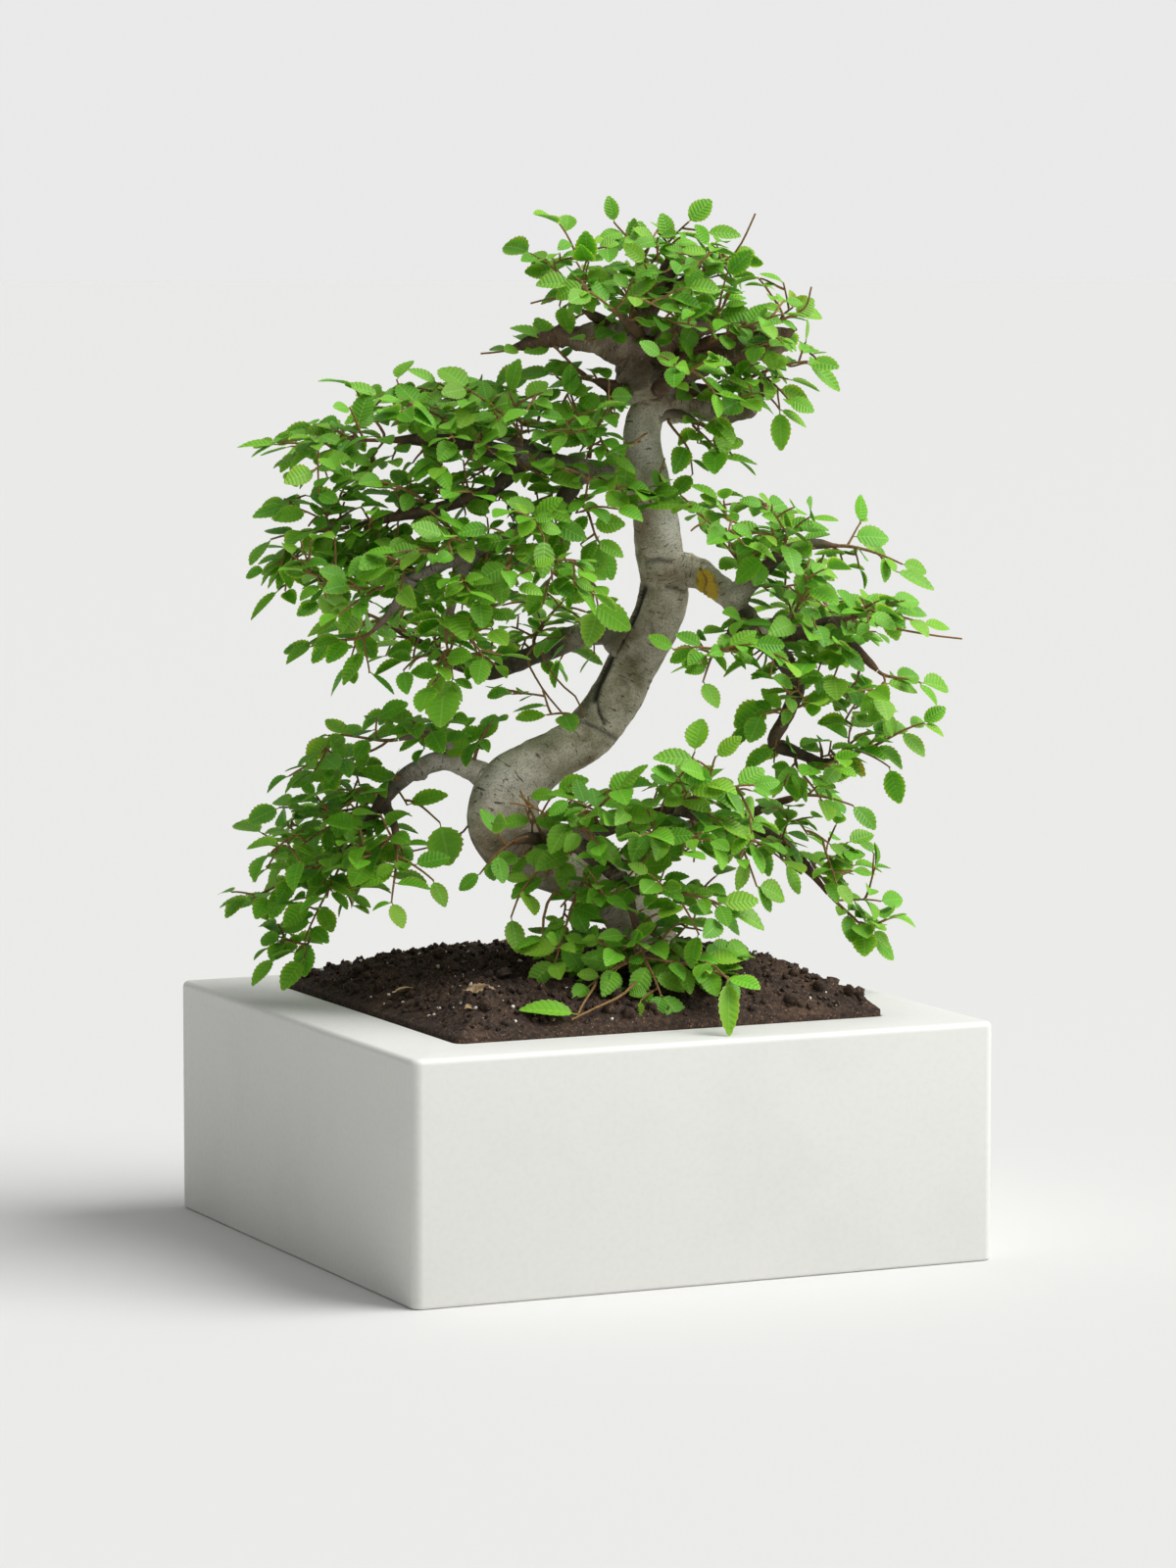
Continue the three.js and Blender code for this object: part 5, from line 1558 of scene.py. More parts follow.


# Where the bark is smooth and pale, also as painted light where light falls on it; where painted shade
# turns it nearly black, on wood in the tree's shade; and where it is rusty brown
PALE_BARK_AND_PAINTED_LIGHT = (
    Patch((-64, -62, 320), (40, 18, 22), 0.3),
    Patch((46, -8, 346), (11, 14, 15), 1.0), Patch((54, -4, 305), (9, 14, 26), 0.45),
    Patch((-34, -22, 226), (22, 14, 15), 0.75), Patch((35, -6, 386), (14, 14, 15), 0.9),
    Patch((20, -6, 252), (10, 12, 8), 0.3), Patch((-60, -8, 230), (26, 18, 16), 0.6),
    Patch((68, -6, 317), (16, 16, 12), 0.5),
)
PAINTED_SHADE = (
    Patch((32, 4, 292), (16, 24, 30), 0.36), Patch((-26, -6, 186), (30, 24, 9), 0.2),
    Patch((-20, 38, 282), (44, 40, 18), 0.6), Patch((14, 18, 292), (16, 30, 14), 0.7),
    Patch((34, 4, 424), (34, 40, 17), 0.55), Patch((80, 2, 415), (34, 40, 14), 0.35),
    Patch((-34, -20, 382), (60, 22, 14), 0.4),
)
RUST = (
    Patch((8, -8, 231), (10, 8, 3.5), 0.7), Patch((-30, -20, 192), (26, 20, 12), 0.65),
    Patch((32, -8, 350), (6, 12, 16), 0.7), Patch((48, -6, 322), (14, 12, 8), 0.45),
    Patch((22, -6, 128), (30, 30, 20), 0.7), Patch((22, -4, 300), (9, 12, 22), 0.5),
    Patch((56, 0, 428), (70, 60, 22), 0.9),
)

CRACKS = (
    Crack(((31.5, 316), (26, 301), (17, 286), (10.5, 271), (8.5, 263)), 2.6, 1.0),
    Crack(((9.5, 263), (11, 256), (14, 250.5)), 0.9, 0.8),
    Crack(((28, 313), (21, 297), (12, 283), (6, 268), (0, 256)), 5.0, 0.6),
    Crack(((1.3, 252.3), (8.5, 249.4), (16.6, 244.6), (23.3, 239.8)), 1.1, 0.65),
    Crack(((-4, 249), (1.3, 251)), 1.1, 0.6),
    Crack(((33, 329), (40, 330), (47, 329), (54, 327)), 1.3, 0.7),
    Crack(((44, 317), (52, 316), (58, 318)), 1.2, 0.7),
    Crack(((36, 301), (38, 292)), 1.0, 0.5),
    Crack(((22, 272), (26, 268)), 1.6, 0.55),
    Crack(((25, 283), (27, 279)), 1.5, 0.5),
    Crack(((36, 271), (40, 268)), 1.4, 0.5),
)


# Pale bark with painted light, painted shade, and rust, by the attribute each is written to
STAINS = {"crack_and_painted_shade": PAINTED_SHADE, "bare": PALE_BARK_AND_PAINTED_LIGHT, "rust": RUST}


def stain(surface: Surface) -> None:
    """Colour a surface of bark by its patches, the strongest of each kind at every point: pale bark
    with painted light, painted shade, and rust.
    """
    for key, patches in STAINS.items():
        surface.at_points[key] = np.max([patch.at(surface.points) for patch in patches], axis=0)


# Foliage

LEAF = np.dtype([
    ("root", float, 3), ("direction", float, 3), ("facing", float, 3), ("length", float),
    ("width", float), ("fold", float), ("arch", float), ("twist", float), ("tint", float),
    ("youth", float), ("fade", float),
])


@dataclass(frozen=True)
class LeafShape:
    """The blade that every leaf is a copy of: oval, saw-toothed and thin, on a short stalk."""

    teeth: int = 8
    stalk: float = 0.1
    stalk_radius: float = 0.36
    half_thickness: float = 0.17
    tooth_lean: float = 0.72
    tooth_height: float = 0.05
    notch_depth: float = 0.06

    def half_width(self, share: Array) -> Array:
        """Share of the half width at a share of the blade: sin(pi t^0.88)^0.68."""
        return np.maximum(np.sin(math.pi * np.clip(share, 0, 1)**0.88), 0)**0.68

    def template(self) -> tuple[Array, Surface]:
        """One leaf lying flat, its upper side up.

        Returns:
            For each point its share of the length, its share of the half width, and what it
            stands aside and up in millimetres; and the faces with their side.
        """
        step = np.arange(self.teeth)
        rib = step[1:] / self.teeth
        tooth = (step + self.tooth_lean) / self.teeth
        wide = self.half_width(tooth) + self.tooth_height
        narrow = self.half_width(rib) - self.notch_depth
        flat = np.zeros(self.teeth - 1)
        blade = [
            np.array([[0, 0, 0, 0], [1, 0, 0, 0]], float),
            np.column_stack([rib, flat, flat, flat + self.half_thickness]),
            np.column_stack([rib, flat, flat, flat - self.half_thickness]),
        ]
        for side in (1, -1):
            blade.append(np.column_stack([tooth, side * wide, 0 * tooth, 0 * tooth]))
            blade.append(np.column_stack([rib, side * narrow, flat, flat]))
        points = np.vstack(blade)
        points[:, 0] = self.stalk + (1 - self.stalk) * points[:, 0]
        turn = np.array([0.5, 7 / 6, 11 / 6]) * math.pi
        rings = [np.column_stack([np.full(3, at), np.zeros(3), self.stalk_radius * np.cos(turn),
                                  self.stalk_radius * np.sin(turn)])
                 for at in (0.0, 0.6 * self.stalk, 1.3 * self.stalk)]
        quads, triangles, below = self.blade_faces()
        first = len(points)
        stalk_quads = ring_quads(3, 3) + first
        caps = np.array([[2, 1, 0], [6, 7, 8]]) + first
        points = np.vstack([points, *rings])
        faces = Surface(np.zeros((len(points), 3)), np.vstack([quads, stalk_quads]),
                        np.vstack([triangles, caps]))
        four, three = below
        faces.at_faces["below"] = np.concatenate([four, np.zeros(len(stalk_quads)),
                                                  three, np.zeros(2)])
        return points, faces

    def blade_faces(self) -> tuple[Indices, Indices, tuple[Array, Array]]:
        """Faces between midrib and margin, for each side of the blade and both its faces.

        Between two points of the midrib lie a four-sided face out to a tooth and the notch
        before it, and a triangle on to the notch after it.

        Returns:
            The four-sided faces, the triangles, and for both whether they look down.
        """
        teeth = self.teeth
        upper = np.concatenate([[0], 2 + np.arange(teeth - 1), [1]])
        lower = np.concatenate([[0], 1 + teeth + np.arange(teeth - 1), [1]])
        quads, triangles, four, three = [], [], [], []
        for order, side in enumerate((1, -1)):
            start = 2 * teeth + order * (2 * teeth - 1)
            tooth = start + np.arange(teeth)
            notch = np.concatenate([[0], start + teeth + np.arange(teeth - 1), [1]])
            for ribs, down in ((upper, 0), (lower, 1)):
                wide = np.stack([ribs[1:-2], ribs[2:-1], tooth[1:-1], notch[1:-2]], axis=1)
                ahead = np.stack([ribs[1:-1], notch[1:-1], tooth[:-1]], axis=1)
                ends = np.array([[0, ribs[1], tooth[0]],
                                 [ribs[-2], 1, tooth[-1]],
                                 [ribs[-2], tooth[-1], notch[-2]]])
                narrow = np.vstack([ahead, ends])
                if side * (1 - 2 * down) < 0:
                    wide, narrow = wide[:, ::-1], narrow[:, ::-1]
                quads.append(wide)
                triangles.append(narrow)
                four.append(np.full(len(wide), float(down)))
                three.append(np.full(len(narrow), float(down)))
        return (np.vstack(quads), np.vstack(triangles),
                (np.concatenate(four), np.concatenate(three)))

    def place(self, leaves: Array) -> Surface:
        """Copy the leaf to where leaves grow.

        At a share s of its length a point stands aside by its share of the half width, up by
        the fold times that, and down by arch times length times s^2; the twist turns both
        about the midrib by s.

        Args:
            leaves: one row of the LEAF kind for each leaf.

        Returns:
            All of them as one surface.
        """
        template, faces = self.template()
        share, aside, off, lift = template.T
        along = unit(leaves["direction"])
        up = square_to(leaves["facing"], along)
        side = np.cross(up, along)
        length, half = leaves["length"][:, None], leaves["width"][:, None] / 2
        across = half * aside + off
        rise = lift + leaves["fold"][:, None] * np.abs(aside) * half
        turn = leaves["twist"][:, None] * share
        turned_across = across * np.cos(turn) - rise * np.sin(turn)
        turned_rise = across * np.sin(turn) + rise * np.cos(turn)
        sag = leaves["arch"][:, None] * length * share**2
        points = (leaves["root"][:, None] + along[:, None] * (length * share)[..., None]
                  + side[:, None] * turned_across[..., None]
                  + up[:, None] * (turned_rise - sag)[..., None])
        copies, size = len(leaves), len(template)
        chart = np.column_stack([aside, (share - self.stalk) / (1 - self.stalk)])
        below = faces.at_faces["below"]
        four, three = below[:len(faces.quads)], below[len(faces.quads):]
        return Surface(
            points.reshape(-1, 3),
            repeated(faces.quads, copies, size),
            repeated(faces.triangles, copies, size),
            {key: np.repeat(leaves[key], size) for key in ("tint", "youth", "fade")},
            {"below": np.concatenate([np.tile(four, copies), np.tile(three, copies)])},
            np.tile(chart, (copies, 1)),
        )


@dataclass
class Shoot:
    """A twig: the limb that bears it, its line, the way its leaves look, and their number.

    Where the number is left out, it follows from the twig's length.
    """

    limb: str
    line: Line
    facing: Array
    leaves: int | None = None


@dataclass(frozen=True)
class OddTwig:
    """A twig that catches the eye: its route, how thick it starts, and its number of leaves."""

    limb: str
    route: tuple[Vector, ...]
    thick: float
    leaves: int = 0


# Bare tips and dead twigs first, then those that stand out of their cushions, most of them leafy
ODD_TWIGS = (
    OddTwig("crown_top_right", ((62, -6, 470), (76, -5, 478), (81, -6, 486), (86, -6, 497)), 0.6),
    OddTwig("crown_right", ((100, -7, 446), (110, -8, 452), (113, -8, 462)), 0.6),
    OddTwig("crown_left", ((-4, -9, 456), (-14, -10, 456), (-22, -10, 454)), 0.55),
    OddTwig("right", ((150, -16, 300), (170, -16, 295), (186, -16, 293)), 0.6),
    OddTwig("back_left", ((-24, 16, 284), (-17, 4, 268), (-5, -6, 254)), 0.6),
    OddTwig("back_left", ((-18, 20, 287), (-9, 4, 271), (1, -2, 262), (4, -5, 251)), 0.55),
    OddTwig("low_left", ((-44, -12, 216), (-54, -14, 200), (-64, -16, 194), (-80, -18, 190)),
            0.6, 2),
    OddTwig("low_left", ((-116, -12, 208), (-130, -14, 211), (-144, -14, 211)), 0.7, 5),
    OddTwig("right_low", ((104, -17, 256), (92, -24, 258), (84, -28, 252)), 0.6, 2),
    OddTwig("crown_left_low", ((-6, -7, 437), (-22, -9, 434), (-36, -10, 431), (-46, -11, 430)),
            0.8, 6),
    OddTwig("crown_left", ((-6, -10, 466), (-14, -12, 473), (-22, -13, 478)), 0.7, 5),
    OddTwig("crown_left", ((0, -10, 476), (-4, -12, 486), (-8, -13, 492)), 0.7, 4),
    OddTwig("upper_left", ((-92, -26, 392), (-101, -24, 405), (-106, -24, 414)), 0.8, 4),
    OddTwig("upper_left", ((-74, -24, 394), (-82, -24, 408), (-86, -24, 418)), 0.7, 4),
    OddTwig("small_right", ((56, -9, 396), (64, -14, 388), (70, -16, 380)), 0.8, 4),
    OddTwig("small_right", ((44, -6, 398), (54, -12, 384), (56, -14, 372)), 0.8, 4),
    OddTwig("crown_right_low", ((84, 0, 412), (94, -4, 408), (98, -6, 403)), 0.8, 1),
    OddTwig("front_left_drop", ((-58, -70, 296), (-62, -74, 284), (-62, -75, 277)), 0.7, 1),
    OddTwig("front_low", ((40, -72, 214), (44, -76, 226), (52, -78, 236), (56, -79, 244)), 0.8, 3),
    OddTwig("front_low_hanging", ((56, -84, 146), (64, -96, 145), (71, -108, 140)), 0.7, 2),
    OddTwig("front_low_hanging", ((30, -84, 136), (21, -101, 131), (10, -110, 127),
                                  (-2, -120, 122.5)), 0.8),
    OddTwig("front_low_left", ((-10, -60, 176), (-16, -68, 160), (-12, -74, 142), (-10, -76, 128)),
            0.8, 5),
    OddTwig("front_low_left", ((-16, -34, 197), (-20, -38, 208), (-27, -41, 222)), 0.8, 0),
    OddTwig("front_left", ((0, -40, 355), (10, -44, 358), (20, -47, 357)), 0.7, 4),
    OddTwig("front_low_left", ((-16, -56, 186), (-26, -64, 176), (-31, -68, 164)), 0.7, 4),
)


@dataclass(frozen=True)
class OddLeaf:
    """A leaf that catches the eye: root, tip, the way it looks, width to length, and age."""

    limb: str
    root: Vector
    tip: Vector
    facing: Vector
    width: float = 0.6
    youth: float = 0.15
    fade: float = 0.0


ODD_LEAVES = (
    OddLeaf("right", (60, -16, 328), (67, -19, 312), (-0.3, -1, 0.3), 0.55, 0, 1.0),
    OddLeaf("right", (59, -17, 327), (61, -20, 316), (0.8, -1, 0.2), 0.6, 0, 1.0),
    OddLeaf("crown_right", (104, -8, 452), (110, -12, 458), (0, -0.8, 0.8), 0.6, 1.0),
    OddLeaf("crown_right", (104, -8, 452), (103, -13, 460), (0.3, -0.9, 0.6), 0.6, 1.0),
    OddLeaf("right_low", (128, -16, 237), (140, -20, 228), (0.2, -0.8, 0.6), 0.5, 0.2, 0.7),
    OddLeaf("front_left_drop", (-62, -75, 277), (-64, -84, 257), (0, -0.9, 0.4), 0.8),
    OddLeaf("front_low_hanging", (71, -108, 140), (72, -127, 118), (0.15, -1, 0.5), 0.34, 0.3),
    OddLeaf("right_low", (93, -24, 262), (76, -28, 252), (0, -0.9, 0.4), 0.75),
    OddLeaf("front_low_hanging", (1, -117, 124.5), (-26, -121, 130), (0, -0.5, 0.85), 0.48),
    OddLeaf("crown_right_low", (98, -6, 403), (99, -12, 384), (0.1, -1, 0.3), 0.5),
    OddLeaf("low_left", (-66, -17, 204), (-61, -22, 184), (0.1, -0.9, 0.3), 0.85),
    OddLeaf("front_low", (57, -79, 240), (37, -84, 243), (-0.1, -0.8, 0.6), 0.5),
    OddLeaf("upper_left", (-142, -30, 387), (-162, -31, 388), (0, -0.5, 0.9), 0.4),
    OddLeaf("upper_left", (-94, -24, 410), (-110, -26, 417), (0.2, -0.7, 0.7), 0.45),
    OddLeaf("upper_left", (-66, -24, 416), (-80, -26, 424), (0.2, -0.7, 0.7), 0.45),
    OddLeaf("crown_left_low", (-14, -9, 437), (-31, -12, 444), (0.2, -0.6, 0.8), 0.5),
    OddLeaf("crown_top_right", (62, -6, 488), (79, -8, 488), (0, -0.7, 0.7), 0.5),
    OddLeaf("crown_right_low", (112, 8, 425), (129, 8, 413), (0.3, -0.7, 0.6), 0.4),
    OddLeaf("right_top", (154, -2, 325), (174, -4, 318), (0.2, -0.6, 0.8), 0.4),
    OddLeaf("front_left", (8, -50, 312), (26, -54, 301), (0, -0.9, 0.4), 0.6),
    OddLeaf("front_left", (2, -44, 340), (13, -48, 330), (0, -0.9, 0.4), 0.7),
    OddLeaf("middle_left", (-142, -36, 318), (-157, -38, 305), (-0.3, -0.6, 0.7), 0.35),
    OddLeaf("front_low_left", (-23, -40, 219), (-10, -45, 221), (0, -0.7, 0.7), 0.55),
    OddLeaf("front_low_left", (-10, -43, 222), (5, -47, 229), (0, -0.7, 0.7), 0.6),
    OddLeaf("front_low_left", (-21, -38, 208), (-37, -43, 206), (0, -0.8, 0.6), 0.5),
    OddLeaf("front_low_left", (-21, -38, 208), (-7, -43, 206), (0, -0.8, 0.6), 0.55),
    OddLeaf("front_low_left", (-26, -46, 190), (-42, -50, 189), (0, -0.8, 0.6), 0.55),
    OddLeaf("front_low_left", (-26, -46, 191), (-11, -50, 189), (0, -0.9, 0.5), 0.6),
    OddLeaf("low_left", (-88, -14, 224), (-104, -16, 230), (0, -0.8, 0.6), 0.6),
    OddLeaf("low_left", (-82, -12, 212), (-63, -14, 219), (0.2, -0.6, 0.8), 0.5),
    OddLeaf("low_left", (-146, -18, 138), (-158, -22, 126), (-0.2, -0.7, 0.7), 0.5),
    OddLeaf("low_left", (-132, -18, 138), (-143, -24, 124), (-0.1, -0.8, 0.6), 0.6),
)


# The tree's cushions of leaves, crown first: middle and reach of each, along x, y and z
CLUMPS = (
    ((13, -4, 466), (27, 46, 25)), ((50, -4, 463), (33, 54, 29)),
    ((88, -6, 446), (23, 42, 21)), ((76, -10, 417), (28, 34, 14)),
    ((16, -14, 440), (16, 26, 11)), ((66, -12, 390), (12, 20, 12)),
    ((110, -6, 432), (9, 18, 10)), ((-6, -12, 480), (7, 16, 9)),
    ((-114, -22, 382), (32, 40, 15)), ((-68, -10, 401), (40, 56, 19)),
    ((-12, -10, 402), (42, 46, 23)), ((22, -24, 380), (24, 30, 18)),
    ((-80, -30, 366), (58, 40, 15)), ((-18, -26, 358), (26, 32, 15)),
    ((-44, -34, 375), (24, 20, 8)), ((36, -32, 361), (24, 16, 11)),
    ((-130, -26, 360), (13, 18, 7)), ((-10, -40, 383), (34, 14, 14)),
    ((-58, -44, 388), (32, 13, 13)), ((106, -36, 271), (15, 10, 12)),
    ((-58, -76, 322), (30, 12, 18)), ((-148, -30, 326), (10, 18, 18)),
    ((-120, -26, 334), (27, 40, 20)), ((-87, -34, 328), (38, 46, 29)),
    ((-39, -48, 333), (38, 40, 30)), ((-60, -60, 289), (26, 24, 24)),
    ((4, -50, 324), (17, 26, 22)), ((-14, 45, 292), (36, 30, 20)),
    ((-84, 38, 294), (30, 32, 16)), ((-36, -16, 268), (24, 20, 6)),
    ((84, -30, 351), (27, 34, 17)), ((108, -4, 327), (32, 42, 20)),
    ((140, -8, 300), (18, 36, 15)), ((104, -30, 290), (36, 38, 22)),
    ((56, -48, 288), (12, 14, 12)), ((60, -36, 352), (9, 14, 12)),
    ((120, 46, 298), (28, 30, 17)), ((140, -14, 265), (18, 34, 17)),
    ((78, -50, 292), (14, 22, 12)), ((114, -22, 237), (25, 30, 11)),
    ((144, -12, 240), (13, 18, 7)), ((-118, -16, 224), (25, 38, 19)),
    ((-50, -10, 240), (13, 14, 8)), ((-90, -18, 226), (12, 14, 9)),
    ((-122, -14, 187), (37, 44, 25)), ((-140, -12, 147), (14, 26, 13)),
    ((-155, -14, 166), (13, 20, 11)), ((-96, -36, 198), (18, 32, 19)),
    ((-74, -14, 250), (30, 32, 14)), ((-122, 34, 198), (24, 28, 20)),
    ((-10, -52, 204), (26, 26, 25)), ((16, -50, 222), (20, 16, 9)),
    ((37, -68, 198), (42, 30, 31)), ((66, -66, 210), (26, 30, 21)),
    ((50, -74, 231), (18, 14, 10)), ((18, -66, 155), (36, 28, 27)),
    ((52, -66, 153), (27, 30, 26)), ((34, -82, 126), (26, 14, 8)),
    ((106, 32, 190), (28, 32, 18)), ((128, 28, 176), (22, 28, 15)),
    ((146, 28, 150), (11, 18, 13)), ((104, 10, 209), (18, 16, 8)),
)


# Openings in the foliage, as the front shows them: middle and reach of each, in x and z
GAPS = (
    ((25, 320), (9, 22)), ((44, 260), (17, 15)), ((-4, 266), (14, 11)),
    ((-56, 158), (22, 20)), ((36, 389), (10, 8)), ((22, 419), (12, 4)),
    ((-55, 211), (7, 8)), ((66, 310), (12, 8)), ((-22, 244), (11, 6)),
    ((152, 218), (20, 12)), ((-98, 148), (15, 12)), ((66, 270), (8, 8)),
    ((-24, 365), (6, 4)), ((-50, 427), (12, 4)), ((96, 158), (12, 8)),
)


# The trunk's stations that no leaf hides from the front
BARE_TRUNK = [9, 10, 11, 12, 13, 14, 15, 16, 17, 20]


@dataclass(frozen=True)
class Foliage:
    """Every twig and leaf of the tree: the CAD's own shoots, and finer ones that fill its cushions."""

    wood: Wood
    shape: LeafShape
    spray_seed: int = 100
    fill_seed: int = 5
    twig_radius: float = 0.95
    tip_radius: float = 0.45
    fork_share: float = 0.14
    fork_lean: float = 0.6
    leave: float = 0.3
    arrive: float = 0.35
    arch: float = 0.07
    steps: int = 8
    leaf_spacing: float = 13.0
    first_leaf: float = 0.42
    leaf_length: float = 20.0
    fine_share: float = 0.82
    width_share: float = 0.58
    tip_room: float = 2700.0
    fill_spacing: float = 6.0
    fill_length: float = 14.5
    crown_start: float = 405.0
    crown_share: float = 0.9
    leaf_room: float = 3.9
    touching: float = 2.0
    site_spacing: float = 4.0
    shortest: float = 8.0
    longest: float = 62.0
    trunk_margin: float = 4.0
    wood_margin: float = 1.5
    wood_samples: int = 40
    bearer_samples: int = 60

    def build(self) -> None:
        """Grow the shoots, hang the leaves, and dress one piece of each for every limb."""
        lines = self.wood.limb_lines()
        first, leaves = self.first_growth(lines)
        fill = self.fill_growth(lines, first)
        fill += self.odd_growth(lines, first + fill)
        leaves = self.hang_leaves(lines, first, fill, leaves)
        bark, blade = ZelkovaBark(name="young_zelkova_twig").build(), LivingLeaf().build()
        for limb in lines:
            nodes = [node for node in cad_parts
                     if node.rpartition("_")[0] == f"spray_{limb}"]
            shoots = [shoot for shoot in first + fill if shoot.limb == limb]
            twigs = sweep(np.stack([shoot.line.points for shoot in shoots]),
                          np.stack([shoot.line.radii for shoot in shoots]), 6)
            for key in ("shade", *STAINS):
                twigs.at_points[key] = np.zeros(len(twigs.points))
            dress(make_piece(f"twigs_{limb}", twigs, Axes.TREE, bark), nodes)
            blades = self.shape.place(leaves[limb])
            dress(make_piece(f"leaves_{limb}", blades, Axes.TREE, blade, 70.0), nodes)

    def shoot_line(self, start: Array, leaving: Array, tip: Array, radius: float) -> Line:
        """A shoot's line: it leaves one way, turns before its tip, and arches up a little.

        It is a cubic Bezier curve, (1-t)^3 a + 3(1-t)^2 t b + 3(1-t) t^2 c + t^3 d, with b out
        along the leaving direction and c short of the tip and above the chord.
        """
        reach = float(np.linalg.norm(tip - start))
        second = start + leaving * reach * self.leave
        third = tip + (start - tip) * self.arrive + UP * reach * self.arch
        t = np.linspace(0, 1, self.steps + 1)[:, None]
        points = ((1 - t)**3 * start + 3 * (1 - t)**2 * t * second
                  + 3 * (1 - t) * t**2 * third + t**3 * tip)
        return Line(points, np.linspace(radius, self.tip_radius, self.steps + 1))

    def shoot_facing(self, line: Line, draws: Draws) -> Array:
        """The way a CAD shoot's leaves look: to the light, a little outward, and scattered."""
        outward = unit((line.points[-1] - TREE_AXIS) * np.array([1, 1, 0]))
        return draws.scatter(LIGHT + 0.3 * outward, (0.35, 0.35, 0.2))

    def spray_shoots(self, limb: str, line: Line, spot: SpraySpot, draws: Draws) -> list[Shoot]:
        """The shoots of one CAD spray: the first leaves the limb, the others fork from it."""
        tips = np.array(spot.tips, float)
        place = line.place(spot.at)
        leaving, start = place.along, place.point + place.along * GAP
        if spot.at < 1:
            leaving = square_to(tips[0] - place.point, place.along)
            start = place.point + leaving * (place.radius + GAP)
        main = self.shoot_line(start, leaving, tips[0], self.twig_radius)
        facing = self.shoot_facing(main, draws)
        shoots = [Shoot(limb, main, facing)]
        for order, tip in enumerate(tips[1:]):
            fork = main.place(self.fork_share * (order + 1))
            up = square_to(facing, fork.along)
            side = np.cross(up, fork.along)
            walls = np.array([up, -side, -up, side])
            outward = walls[np.argmax(walls @ (tip - fork.point))]
            away = unit(outward + self.fork_lean * fork.along)
            branch = self.shoot_line(fork.point, away, tip, self.tip_radius * 1.5)
            shoots.append(Shoot(limb, branch, self.shoot_facing(branch, draws)))
        return shoots

    def shoot_leaves(self, shoot: Shoot, draws: Draws) -> list[tuple]:
        """The CAD's leaves on a shoot, left and right in turn with the last one at its tip."""
        line = shoot.line
        count = max(2, round(line.length / self.leaf_spacing))
        first_side = 1 if draws.number() < 0.5 else -1
        last = 1 - 1.5 / (2 * line.length)
        leaves = []
        for order in range(count):
            at = self.first_leaf + (last - self.first_leaf) * order / (count - 1)
            turn = first_side if order % 2 else -first_side
            lean = math.radians((34 if order == count - 1 else 56) + draws.spread(12))
            droop = -0.14 + draws.spread(0.18)
            facing = draws.scatter(shoot.facing, (0.4, 0.4, 0.3))
            size = self.leaf_length * (1 + draws.spread(0.22))
            width = size * self.width_share * (1 + draws.spread(0.12))
            fold = 0.14 + draws.spread(0.08)
            arch = 0.1 + draws.spread(0.08)
            leaves.append(self.leaf(line.place(at), shoot.facing, turn, lean, droop, facing,
                                    size, width, fold, arch))
        return leaves

    def leaf(self, place: Place, shoot_facing: Array, turn: float, lean: float, droop: float,
             facing: Array, size: float, width: float, fold: float, arch: float,
             rise: float = 1.0) -> tuple:
        """A leaf that leans off its twig to one side, as a row of the LEAF kind.

        It keeps the share rise of its twig's climb, and then droops or lifts by droop.
        """
        up = square_to(shoot_facing, place.along)
        side = np.cross(up, place.along)
        spread = place.along * math.cos(lean) + side * turn * math.sin(lean)
        direction = unit(spread * np.array([1, 1, rise]) + UP * droop)
        return (place.point, direction, facing, size, width, fold, arch, 0.0, 0.5, 0.0, 0.0)

    def first_growth(self, lines: dict[str, Line]) -> tuple[list[Shoot], dict[str, list[tuple]]]:
        """Grow the CAD's own sprays again: their shoots, and their leaves by limb."""
        shoots, leaves = [], {name: [] for name in lines}
        spots = [("trunk", spot) for spot in TRUNK_SPRAYS]
        spots += [(name, spot) for name, limb in LIMBS.items() for spot in limb.sprays]
        for order, (name, spot) in enumerate(spots):
            draws = Draws(self.spray_seed + order)
            spray = self.spray_shoots(name, lines[name], spot, draws)
            for shoot in spray:
                leaves[name] += self.shoot_leaves(shoot, draws)
            shoots += spray
        return shoots, leaves

    def fill_growth(self, lines: dict[str, Line], first: list[Shoot]) -> list[Shoot]:
        """Grow finer shoots into the cushions, each from the wood nearest to its tip.

        Tips are drawn evenly inside each cushion, and the odd leaves' roots come after them.
        The nearest tips are reached first, and a new shoot may bear the next ones.
        """
        draws = np.random.default_rng(self.fill_seed)
        tips = []
        for middle, reach in CLUMPS:
            count = round(4 / 3 * math.pi * np.prod(reach) / self.tip_room)
            ball = unit(draws.normal(size=(count, 3))) * draws.random((count, 1))**(1 / 2.4)
            tips.append(np.array(middle) + ball * np.array(reach))
        leafy = sum(map(len, tips))
        tips = np.concatenate([*tips, [leaf.root for leaf in ODD_LEAVES]])
        names = list(lines)
        sites = []
        for name, line in lines.items():
            start = 0.45 if name == "trunk" else 0.15
            for share in np.arange(start, 1.0, self.site_spacing / line.length):
                sites.append((line.place(share), names.index(name)))
        for shoot in first:
            for share in (0.25, 0.45, 0.65, 0.85):
                sites.append((shoot.line.place(share), names.index(shoot.limb)))
        where = np.array([site.point for site, _ in sites])
        along = np.array([site.along for site, _ in sites])
        owner = np.array([limb for _, limb in sites])
        nearest = np.array([np.linalg.norm(where - tip, axis=1).min() for tip in tips])
        shoots = []
        for number in np.argsort(nearest):
            tip = tips[number]
            chord = tip - where
            away = np.linalg.norm(chord, axis=1)
            ahead = np.sum(chord * along, axis=1) / np.maximum(away, 1e-6)
            cost = away * (1.25 - 0.25 * ahead)
            cost[(away < self.shortest) | (away > self.longest)] = np.inf
            best = int(np.argmin(cost))
            if not np.isfinite(cost[best]):
                continue
            square = square_to(chord[best], along[best])
            leaving = unit(square + 0.5 * along[best])
            radius = 0.55 + 0.006 * away[best]
